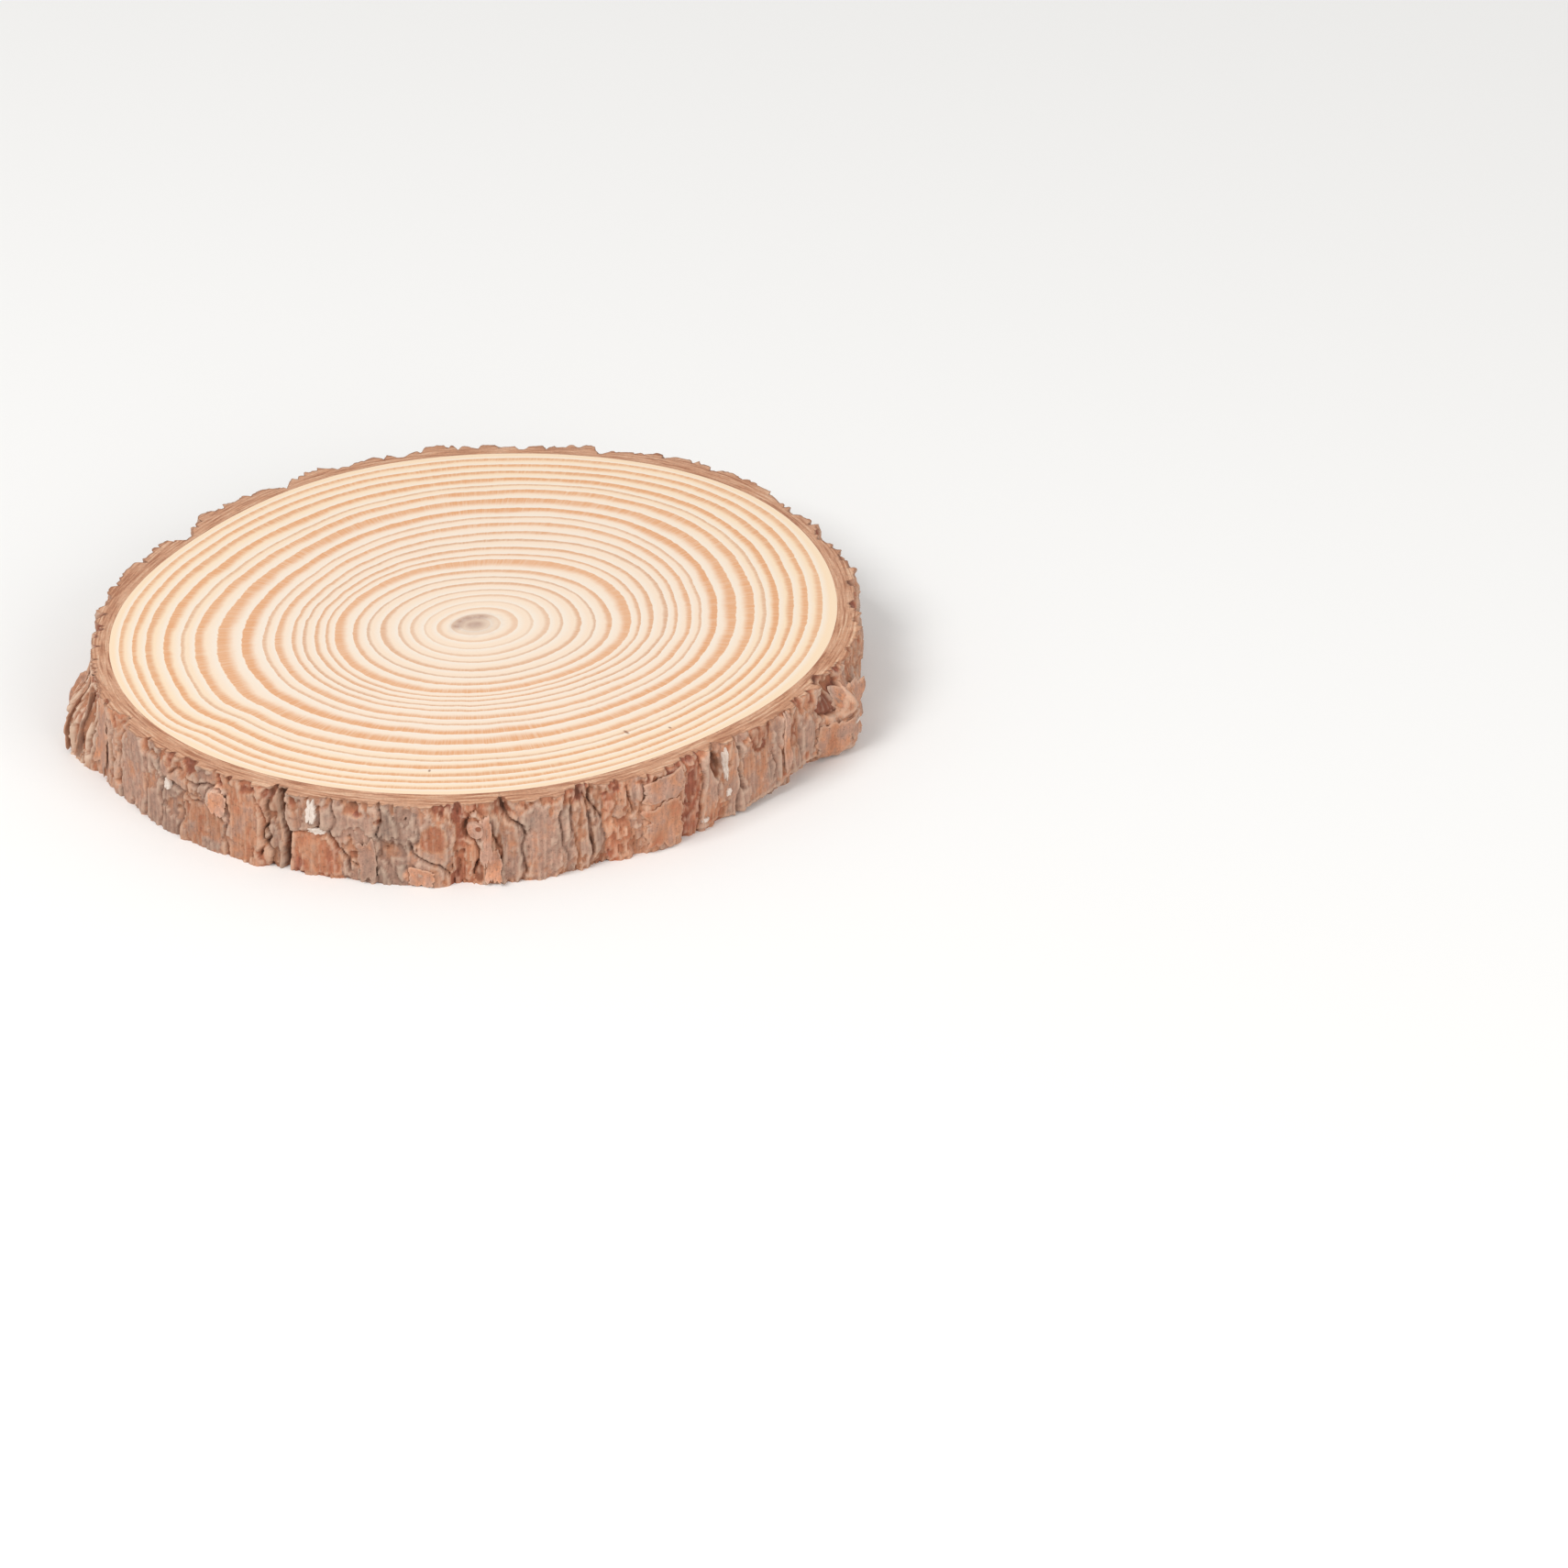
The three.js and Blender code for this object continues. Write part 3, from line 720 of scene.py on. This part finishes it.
crack = np.zeros_like(side_z)
for width, depth, points in CRACKS:
    away = distance_to_line(points, side_azimuth + 0.5 * warp, side_z + 0.5 * warp_up)
    crack = np.maximum(crack, depth * (1 - smoothstep(away, width * 0.2, width)))

# %% Scales, fibres, lumps and pits
LAYER = 0.42  # thickness of one shed scale
FIBRE, LUMP, PIT = 0.2, 0.09, 0.13  # and how far these stand up or go in
LOWERED = 0.25  # all the side at once, to leave room for what stands up
# Plates that kept their scales: azimuth, height, half width, half height.
SMOOTH = (
    (203.5, 8, 3, 8), (214, 8, 4.5, 7), (229, 4, 4.5, 5), (236.5, 8, 3.2, 8), (248.2, 4, 4.5, 4.6),
    (277.8, 7, 2.6, 6.5), (283.2, 8, 3.6, 8), (304.2, 5.5, 4.6, 4.5), (313.5, 7, 2, 7), (325, 6, 4.5, 6),
)

layers = 2.6 * noise_at(side_place, (5, 7.5), 4, 5) + 0.9 * warp
whole_layers = np.floor(layers)
stair = np.clip(whole_layers + smoothstep(layers - whole_layers, 0, 0.09), -2, 1)
off_edge = smoothstep(to_fissure, 0, 0.35)
for middle, height, half_wide, half_high in SMOOTH:
    x, y = turn_between(middle, side_azimuth) * MM_PER_DEGREE / half_wide, (side_z - height) / half_high
    off_edge = off_edge * (0.3 + 0.7 * smoothstep(np.hypot(x, y), 0.7, 1.1))
fibres = noise_at(side_place, (0.5, 7), 2, 6)
lumps = noise_at(side_place, (1.5, 2), 3, 7)
pits = smoothstep(noise_at(side_place, (0.9, 1.1), 1, 8), 0.28, 0.5)

# %% [markdown]
# Some places are worth naming: a patch where a scale came off last year is redder, a crust is paler, a little
# knot stands up. Each is a small ragged blot that moves the bark and its looks there towards its own.

# %% Marks
# Azimuth, height, half width, half height, rise in mm, how weathered, how pale.
# Marks that sink in and are much darker, along the cracks, beside the curled flake, at the upper edge and by
# the resin, are partly painted shade in those hollows, over the redder bark that lies bare there.
MARKS = (
    (243.5, 7.5, 0.9, 3, -0.4, 0.1, -1.4), (243, 12.2, 0.6, 1.4, -0.3, 0.1, -1.3),
    (276.1, 7, 0.7, 3.5, -0.3, 0.2, -1), (199.8, 8, 0.6, 4, -0.2, 0.3, -0.8),
    (206.7, 6.5, 0.7, 3.6, -0.3, 0.25, -0.9), (209, 5, 0.5, 2.6, -0.3, 0.2, -0.9),
    (205.9, 2.7, 0.8, 0.9, -0.2, 0, -0.7), (208.7, 2.8, 0.6, 0.8, -0.2, 0, -0.7),
    (211, 11, 0.5, 3, 0.1, 0.8, 0.6), (213, 12, 1.4, 1, 0.1, 0.5, -0.3), (218, 10.5, 0.5, 1.9, 0.1, 0.8, 0.3),
    (223.5, 13.5, 2, 0.8, -0.1, 0.2, -0.2), (230.5, 1.2, 2, 1.2, 0.15, 0.85, 0),
    (249.3, 11.5, 0.8, 1.6, 0.1, 0.8, 0.1), (258, 12.3, 0.6, 0.7, -0.2, 0, -0.8),
    (255, 13.6, 0.8, 0.7, 0, 0.12, -0.3), (262.8, 11, 1.6, 2, 0.1, 0.85, 0.2),
    (266.5, 9.5, 2.4, 2.9, -0.15, 0.12, -0.2), (263, 1.8, 1.3, 1.7, 0, 0.42, 0.9),
    (271, 12, 1.1, 2, 0, 0.15, 0.1), (284.5, 13.5, 0.6, 1.2, -0.1, 0.3, 0),
    (285, 7, 0.7, 0.9, 0.3, 0.75, 0.2), (289, 7, 1, 1.8, -0.05, 0.35, 0), (290, 14.4, 1.3, 1.2, 0, 0.3, -0.7),
    (294.4, 14.8, 1.4, 1.4, 0.4, 0.5, 0.3), (273, 2.2, 0.8, 2.3, -0.9, 0.1, -0.9),
    (302.5, 14.6, 4.6, 0.6, -0.1, 0.15, 0), (304, 11.5, 4.2, 2.1, 0.1, 0.55, 0.5),
    (304, 5.5, 4.4, 3.8, 0, 0.36, 0.45), (305.6, 9, 1.6, 0.8, -0.1, 0.12, 0),
    (312.3, 2.3, 0.9, 0.4, 0.1, 0.8, 0.9), (315.5, 11.2, 0.8, 2.6, -0.9, 0.1, -1.6),
    (330, 3, 2.2, 1.1, -0.1, 0.12, 0.1), (336.2, 4, 0.9, 1, 0, 0.12, 0),
    (342.3, 14.6, 0.9, 0.9, -0.6, 0.1, -1.4), (274.9, 5, 1.6, 5.5, -0.8, 0.3, -0.3),
    (272.3, 10.7, 2.2, 2.3, -1, 0.2, 0), (342.4, 11, 2.2, 1.4, -0.1, 0.02, -0.8),
    (345, 7.8, 2.2, 0.4, -0.1, 0.3, -0.5), (347.5, 5.8, 2.6, 0.4, 0.1, 0.8, 0.9),
)

age = PLATES[nearest, WEATHERED] + 0.09 * (stair - 0.5) + 0.25 * noise_at(side_place, (2.5, 4.5), 3, 9)
pale = PLATES[nearest, PALE] + 0.3 * noise_at(side_place, (3, 5), 3, 10)
rise = np.zeros_like(side_z)
for middle, height, half_wide, half_high, mm, its_age, its_pale in MARKS:
    x = (turn_between(middle, side_azimuth) * MM_PER_DEGREE + 1.1 * warp) / half_wide
    y = (side_z - height + 1.1 * warp_up) / half_high
    share = 1 - smoothstep(np.hypot(x, y), 0.75, 1.15)
    rise += mm * share
    age = age + (its_age - age) * share * 0.85
    pale = pale + (its_pale - pale) * share * 0.85

# %% The side's heights
PLEATS = (180, 202)  # between these azimuths the bark stands in upright pleats
INSET = 1.7  # how far in mm the pleats' upper ends lean in
EDGE_CHIPS, TOP_CHIPS = 0.4, 0.6  # how deep, at both edges and again at the upper one
CLEARANCE = 0.02

pleated = smoothstep(side_azimuth, PLEATS[0], PLEATS[0] + 4)
pleated *= 1 - smoothstep(side_azimuth, PLEATS[1] - 3, PLEATS[1])
pleats = pleated * (0.6 - 2.2 * np.abs(noise_at(side_place, (2.4, 22), 3, 11)))
pleats *= 1 - 0.85 * smoothstep(side_z, 9, 14)
inset = INSET * hump(side_azimuth, PLEATS[0] + 10, 11) * smoothstep(side_z, 7, 14)
edge = np.minimum(side_z, THICKNESS - side_z)
chips = smoothstep(noise_at(side_place, (2.6, 4), 3, 12), 0.03, 0.3)
chipping = EDGE_CHIPS * chips * (1 - smoothstep(edge, 0.2, 1))
chipping += TOP_CHIPS * chips * smoothstep(side_z, 12.8, 14.2)
age = age - 0.35 * chips * smoothstep(side_z, 12, 14)
thickness = surface + swell + flare + rise + pleats - inset - fissure - crack - broken - chipping
# Fibres show less at the upper edge, and above the pleats.
over_pleats = hump(side_azimuth, 178, 25) * smoothstep(side_z, 7, 11)
calmer = 1 - 0.7 * np.maximum(smoothstep(side_z, 12, 15), over_pleats)
thickness += off_edge * LAYER * stair + FIBRE * fibres * calmer
thickness += LUMP * lumps - PIT * pits - LOWERED
thickness = np.maximum(BARK_THINNEST, thickness)
outer = wood_radius(side_azimuth) + SEAM + thickness
lowest, highest = np.array(cad_box) / MM


def room(azimuth):
    """How far from the pith the bark may reach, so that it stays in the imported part's box."""
    x, y = np.cos(np.radians(azimuth)), np.sin(np.radians(azimuth))
    across = np.where(x > 0, highest[0] - PITH[0], PITH[0] - lowest[0]) / np.maximum(np.abs(x), 1e-6)
    along = np.where(y > 0, highest[1] - PITH[1], PITH[1] - lowest[1]) / np.maximum(np.abs(y), 1e-6)
    return np.minimum(across, along) - CLEARANCE


print("points beyond the box:", int((outer > room(side_azimuth)).sum()))
outer = np.minimum(outer, room(side_azimuth))

# How a place lies to its neighbours, close by and further off, gives painted shade in its hollows and paler
# wear on its edges.
around = blurred(thickness, 3, 3)
hollow = np.clip((around - thickness) / 0.5, 0, 1) * 0.45
hollow += np.clip((blurred(thickness, 8, 6) - thickness) / 1.5, 0, 1)
worn = np.clip((thickness - around) / 0.25, 0, 1) * (1 + 1.2 * pleated)
print("the bark is", span(thickness), "mm thick")

# %% [markdown]
# ## The bark's mesh
# The section goes once round the bark: out along the lower face, up the side, in along the upper face, and
# down the wood. The saw left the upper face flat, with chips missing where a crack meets it.

# %% The bark's mesh
BOTTOM_ROWS = 6
TOP_ROWS = 13

section = [(share, 0) for share in np.linspace(0, 1, BOTTOM_ROWS, endpoint=False)]
section += [(1, step) for step in range(SIDE_ROWS + 1)]
section += [(share, SIDE_ROWS) for share in 1 - np.linspace(0, 1, TOP_ROWS + 1)[1:] ** 0.8]
section += [(0, 0)]
section_share, section_level = np.array(section).T
section_level = section_level.astype(int)

bark_mesh, column, row = flat_sheet(BARK_COLUMNS, len(section) - 1)
column = column % BARK_COLUMNS
share, level = section_share[row], section_level[row]
azimuth = column_azimuths[column]
inner = wood_radius(azimuth) + SEAM / 2
reach = inner + (outer[level, column] - inner) * share
turn = np.radians(azimuth)
x, y, z = reach * np.cos(turn), reach * np.sin(turn), side_z[level, column]

rough = noise_at(np.column_stack([x, y, z * 0]), (1.2, 1), 2, 13)
torn = smoothstep(share, 0.55, 1) * (0.1 + 0.5 * np.clip(crack + fissure * 0.4, 0, 1)[level, column])
sawn = smoothstep(share, 0, 0.15) * (0.06 + 0.08 * rough)
sunk = np.where(level == SIDE_ROWS, sawn + torn * (0.6 + rough), 0)
z = z - np.clip(sunk, 0, 0.8)

here = (level, column)
keep_attributes(bark_mesh, age=age[here], pale=pale[here], hollow=hollow[here], worn=worn[here],
                split=(crack + fissure)[here], depth=reach - inner, from_edge=outer[here] - reach, row=row)
close_up(bark_mesh, np.column_stack([x + PITH[0], y + PITH[1], z]), 70)

# %% [markdown]
# ## Weathered pine bark
# Cork grows red-brown and matte. Weather turns it tan, then grey, so one number for each point, its age,
# picks its colour. Hollows get painted shade, darker the deeper they lie, and worn edges are paler. Fine
# fibres and specks are too small for the mesh, so they are colour and bump.

# %% Weathered bark
FRESH = "93533D"
# Between which ages the bark takes on a colour, and the colour.
AGES = ((0, 0.2, "AD6C4D"), (0.2, 0.4, "BA8262"), (0.4, 0.6, "AF8672"), (0.6, 0.8, "A58371"),
        (0.8, 1, "9D8475"))

weathered_bark, shader, node = new_material("weathered_pine_bark", 0.88)
place = node("TexCoord", out="Object")
age_here, pale_here, hollow_here, worn_here = (
    node("Attribute", out="Fac", attribute_name=name) for name in ("age", "pale", "hollow", "worn"))

upright = node("Mapping", {"Vector": place, "Scale": (1, 1, 0.12)})
fibre = node("TexNoise", {"Vector": upright, "Scale": 2600, "Detail": 3, "Roughness": 0.6})
mottle = node("TexNoise", {"Vector": place, "Scale": 900, "Detail": 4, "Roughness": 0.65})
speck = node("TexNoise", {"Vector": place, "Scale": 2600, "Detail": 2})

aged = node("Math", {0: mottle, 1: 0.4, 2: age_here}, operation="MULTIPLY_ADD")
aged = node("Math", {0: aged, 1: 0.2}, operation="SUBTRACT")
colour = linear(FRESH)
for low, high, its_colour in AGES:
    older = node("MapRange", {"Value": aged, "From Min": low, "From Max": high})
    colour = node("Mix", {0: older, 6: colour, 7: linear(its_colour)}, out=2, data_type="RGBA")

# Brightness: the plate's own, then fibres, mottling and specks.
fibre_light = node("MapRange", {"Value": fibre, **NOISE_RANGE, "To Min": 0.82, "To Max": 1.12})
mottle_light = node("MapRange", {"Value": mottle, **NOISE_RANGE, "To Min": 1.04, "To Max": 0.78})
speck_light = node("MapRange", {"Value": speck, "From Min": 0.3, "From Max": 0.42, "To Min": 0.7})
light = node("Math", {0: pale_here, 1: 0.3, 2: 1}, operation="MULTIPLY_ADD")
for factor in (fibre_light, mottle_light, speck_light):
    light = node("Math", {0: light, 1: factor}, operation="MULTIPLY")
colour = node("VectorMath", {0: colour, "Scale": light}, operation="SCALE")

# Painted shade: hollows are darkened towards 63412F and the deepest towards 33211A, for the shade that falls
# in them. Worn edges are lightened towards E0C4AC.
painted_shade_mix = node("MapRange", {"Value": hollow_here, "From Min": 0.15, "From Max": 1.4, "To Max": 0.7})
painted_deep_shade = node("MapRange", {"Value": hollow_here, "From Min": 0.9, "From Max": 1.6, "To Max": 0.6})
bright = node("Math", {0: worn_here, 1: 0.35}, operation="MULTIPLY")
for over, its_colour in ((painted_shade_mix, "63412F"), (painted_deep_shade, "33211A"), (bright, "E0C4AC")):
    colour = node("Mix", {0: over, 6: colour, 7: linear(its_colour)}, out=2, data_type="RGBA")

relief = node("Math", {0: fibre, 1: 0.6, 2: mottle}, operation="MULTIPLY_ADD")
give_looks(shader, colour, relief, 0.7, 0.3)

# %% [markdown]
# ## Sawn pine bark
# Where the saw went through, the bark shows its layers edge on, as thin lines along the wood. Each point
# knows how deep in the bark it lies, so a noise that changes quickly with that depth, and slowly round the
# slice, draws them.

# %% Sawn bark
sawn_bark, shader, node = new_material("sawn_pine_bark", 0.8)
place = node("TexCoord", out="Object")
depth_here, edge_here, split_here = (
    node("Attribute", out="Fac", attribute_name=name) for name in ("depth", "from_edge", "split"))

layer_at = node("Math", {0: depth_here, 1: 2.2}, operation="MULTIPLY")
layer_place = node("Mapping", {"Vector": place, "Scale": (140, 140, 140)})
layer = node("TexNoise", {"Vector": layer_place, "W": layer_at, "Scale": 1, "Detail": 3, "Roughness": 0.65},
             noise_dimensions="4D")
grain = node("TexNoise", {"Vector": place, "Scale": 1800, "Detail": 3, "Roughness": 0.6})
patch = node("TexNoise", {"Vector": place, "Scale": 160, "Detail": 2})

colour = node("Mix", {0: patch, 6: linear("C08865"), 7: linear("CDA083")}, out=2, data_type="RGBA")
line = node("MapRange", {"Value": layer, "From Min": 0.5, "From Max": 0.62, "To Max": 0.7})
pale_line = node("MapRange", {"Value": layer, "From Min": 0.46, "From Max": 0.36, "To Max": 0.7})
for over, its_colour in ((line, "94593A"), (pale_line, "DFBB9C")):
    colour = node("Mix", {0: over, 6: colour, 7: linear(its_colour)}, out=2, data_type="RGBA")
light = node("MapRange", {"Value": grain, **NOISE_RANGE, "To Min": 0.88, "To Max": 1.1})
colour = node("VectorMath", {0: colour, "Scale": light}, operation="SCALE")
rind = node("MapRange", {"Value": edge_here, "From Min": 0.45, "From Max": 0.1, "To Max": 0.55})
cleft = node("MapRange", {"Value": split_here, "From Min": 0.5, "From Max": 1.6})
cleft_reach = node("MapRange", {"Value": edge_here, "From Min": 2.2, "From Max": 0.3, "To Max": 0.75})
cleft = node("Math", {0: cleft, 1: cleft_reach}, operation="MULTIPLY")
for over, its_colour in ((rind, "7A5542"), (cleft, "6A4636")):
    colour = node("Mix", {0: over, 6: colour, 7: linear(its_colour)}, out=2, data_type="RGBA")

relief = node("Math", {0: layer, 1: 0.8, 2: grain}, operation="MULTIPLY_ADD")
give_looks(shader, colour, relief, 0.6, 0.25)

# %% Show the bark
face_rows = face_means(bark_mesh, "row")
side_starts, side_ends = BOTTOM_ROWS, BOTTOM_ROWS + SIDE_ROWS
is_side = (face_rows > side_starts) & (face_rows < side_ends)
bark_mesh.polygons.foreach_set("material_index", np.where(is_side, 0, 1))
bark_mesh.attributes.remove(bark_mesh.attributes["row"])
show("pine_bark", bark_mesh, "bark_ring", "pine_bark", weathered_bark, sawn_bark)

# %% [markdown]
# ## Flakes, a branch stub and resin
# A scale that has come loose stands off the bark at one edge and throws a shadow. Each is a thin coin: a
# sheet rolled round its middle, squarish and ragged, laid on the bark and bent up where it's loose. A cut
# twig left a round stub, and where the bark was hurt, resin bled out and dried white. Both are small coins
# too, only rounder and thicker.

# %% Coins on the bark
COIN_COLUMNS = 56
COIN_MEASURES = 11  # in a row of a table of coins; those that it leaves out are 0
# A coin's section, from the middle of its lower side to the middle of its upper one: the share of the radius,
# and the side, which is -1 below and 1 above.
COIN_SECTION = (
    (0, -1), (0.5, -1), (0.95, -1), (1, -0.5), (1, 0.5), (0.95, 1), (0.84, 1), (0.7, 1), (0.55, 1), (0.4, 1),
    (0.25, 1), (0.12, 1), (0, 1),
)

around_outer = wood_radius(side_azimuth) + SEAM + around


def bark_surface(azimuth, z):
    """How far the bark reaches from the pith, without its fine detail."""
    column = np.rint(np.interp(azimuth % 360, column_azimuths, np.arange(BARK_COLUMNS))).astype(int)
    row = np.rint(np.clip(z / THICKNESS, 0, 1) * SIDE_ROWS).astype(int)
    return around_outer[row, column]


def coins(table, squareness, ragged, seed):
    """A mesh of coins lying on the bark, one for each row of a table."""
    table = np.pad(np.array(table, dtype=float), ((0, 0), (0, COIN_MEASURES - len(table[0]))))
    mesh, column, row = flat_sheet(COIN_COLUMNS, len(COIN_SECTION) - 1, len(table))
    number = np.arange(len(column)) // (len(column) // len(table))
    (middle, height, half_wide, half_high, thick,
     left, right, upper, lower, its_age, its_pale) = table[number].T
    share, face = np.array(COIN_SECTION)[row].T
    turn = (column % COIN_COLUMNS) * 2 * math.pi / COIN_COLUMNS
    square = (np.abs(np.cos(turn)) ** squareness + np.abs(np.sin(turn)) ** squareness) ** (-1 / squareness)
    # Each coin reads the noise at a height of its own, so each is torn in its own way.
    places = np.column_stack([np.cos(turn) * 2.6, np.sin(turn) * 2.6, number * 7.3 + seed])
    edge = square * (1 + ragged * np.array([noise.fractal(place, 0.7, 2.0, 4) for place in places.tolist()]))
    a, b = share * edge * np.cos(turn), share * edge * np.sin(turn)
    azimuth = middle + a * half_wide / MM_PER_DEGREE
    z = np.clip(height + b * half_high, 0.05, THICKNESS - 0.1)
    lift = left * np.clip(-a, 0, 1) ** 2 + right * np.clip(a, 0, 1) ** 2
    lift += upper * np.clip(b, 0, 1) ** 2 + lower * np.clip(-b, 0, 1) ** 2
    reach = bark_surface(azimuth, z) + lift + 0.5 * thick * face + 0.25 * thick
    beyond = np.maximum(reach - room(azimuth), 0)
    moved = np.array([beyond[number == coin].max() for coin in range(len(table))])
    reach -= moved[number]
    print("coins moved in to stay in the box:", np.flatnonzero(moved).tolist())
    turned = np.radians(azimuth)
    places = np.column_stack([reach * np.cos(turned) + PITH[0], reach * np.sin(turned) + PITH[1], z])
    its_age = its_age + 0.25 * noise_at(places, (2.5, 4), 3, seed)
    its_pale = its_pale + 0.3 * noise_at(places, (2, 4), 3, seed + 1)
    # The lower side of each coin gets painted shade, for the shade under a loose scale.
    keep_attributes(mesh, age=its_age, pale=its_pale, hollow=np.where(face < 0, 0.6, 0),
                    worn=smoothstep(share, 0.85, 1) * 0.8)
    close_up(mesh, places, 50)
    return mesh


# %% Flakes
# Azimuth, height, half width, half height, thickness, how far the left, right, upper and lower edges stand
# off, in mm, how weathered, how pale.
FLAKES = (
    (274.2, 8.5, 1, 4.6, 0.4, 0, 1.1, 0.2, 0.5, 0.6, 1.2), (275.3, 3.6, 1.3, 3, 0.4, 0, 1, 0, 0.6, 0.55, 1.2),
    (232.1, 9.7, 1.7, 2.1, 0.4, 0.1, 0.5, 0, 0.5, 0.58, 1),
    (304.1, 5.4, 4.4, 3.9, 0.5, 0.1, 0.3, 0, 0.2, 0.36, 0.4),
    (304, 12.2, 4, 2.2, 0.45, 0.1, 0.2, 0.1, 0.1, 0.55, 0.45),
    (346.4, 7.6, 4.2, 4.6, 0.4, 0.1, 2.2, 0.6, 0.8, 0.5, 0.5),
    (341.5, 4.4, 3, 3.2, 0.4, 0.1, 0.6, 0.2, 0.7, 0.48, 0.5),
    (189.2, 6.5, 0.8, 6.2, 0.4, 1.2, 0, 0.2, 0.9, 0.5, 0.3),
    (193.8, 7, 0.7, 6, 0.35, 0.2, 1, 0.1, 0.6, 0.4, 0.4),
    (198, 8, 0.6, 5.6, 0.35, 0, 1.2, 0.2, 0.6, 0.6, 0.5),
    (203.4, 8.6, 2, 6.2, 0.35, 0.4, 0.2, 0.1, 0.5, 0.55, 0.5),
    (256.2, 4.6, 1.5, 3.6, 0.35, 0.5, 0.2, 0.1, 0.3, 0.6, 0),
    (264.4, 2, 2.2, 1.8, 0.35, 0.3, 0.3, 0.2, 0.3, 0.45, 0.8),
    (330.4, 9.6, 1.1, 5.2, 0.4, 0.3, 0.2, 0.1, 0.4, 0.6, 1),
    (17, 5, 2.4, 4.2, 0.4, 0.2, 0.8, 0.2, 0.4, 0.6, 0.1), (49, 9, 1.6, 5, 0.4, 0.9, 0.2, 0.2, 0.4, 0.5, 0.1),
    (81, 5, 3.6, 3.2, 0.4, 0.2, 0.5, 0.8, 0.2, 0.75, 0),
    (118, 9.5, 1.7, 4.6, 0.4, 0.2, 0.9, 0.1, 0.5, 0.6, 0.2),
    (151, 4.5, 2.8, 3.4, 0.4, 0.7, 0.2, 0.3, 0.2, 0.7, 0.1),
    (168, 8, 1.5, 5.4, 0.4, 0.2, 0.8, 0.1, 0.6, 0.55, 0),
)
show("bark_flakes", coins(FLAKES, 5, 0.32, 3), "bark_ring", "pine_bark", weathered_bark)

# %% Branch stub
# The stub, and a small darker coin on it that paints the shade in the hollow of its cut end, with the same
# measures as the flakes.
STUB = ((272.6, 10.9, 1.4, 1.5, 1.5, 0, 0, 0, 0, 0.65, 1.3),
        (273.1, 11.5, 0.55, 0.5, 1.62, 0, 0, 0, 0, 0.1, -0.8))
show("branch_stub", coins(STUB, 2, 0.06, 5), "bark_ring", "pine_bark", weathered_bark)

# %% Dried resin
# Resin dries to a brittle crust, white with tiny cracks and bubbles, that light goes into a little way. The
# drops have the first five of the flakes' measures.
RESIN = (
    (248, 13, 0.8, 1.9, 0.9), (248.7, 9.2, 1.4, 0.6, 0.6), (222.1, 9.5, 0.7, 0.9, 0.7),
    (312.3, 2.3, 0.8, 0.35, 0.5), (317, 11.5, 0.4, 2.6, 0.45), (317.4, 5.8, 0.5, 0.7, 0.4),
    (347.4, 5.7, 2.2, 0.35, 0.4), (64, 9, 0.9, 1.6, 0.8),
)
dried_resin, shader, node = new_material("dried_resin", 0.35, 1.54)
place = node("TexCoord", out="Object")
cloud = node("TexNoise", {"Vector": place, "Scale": 1500, "Detail": 3})
colour = node("Mix", {0: cloud, 6: linear("E2D6CC"), 7: linear("C9B4A4")}, out=2, data_type="RGBA")
give_looks(shader, colour, cloud, 0.5, 0.3)
show("dried_resin", coins(RESIN, 2, 0.45, 9), "bark_ring", "pine_bark", dried_resin)
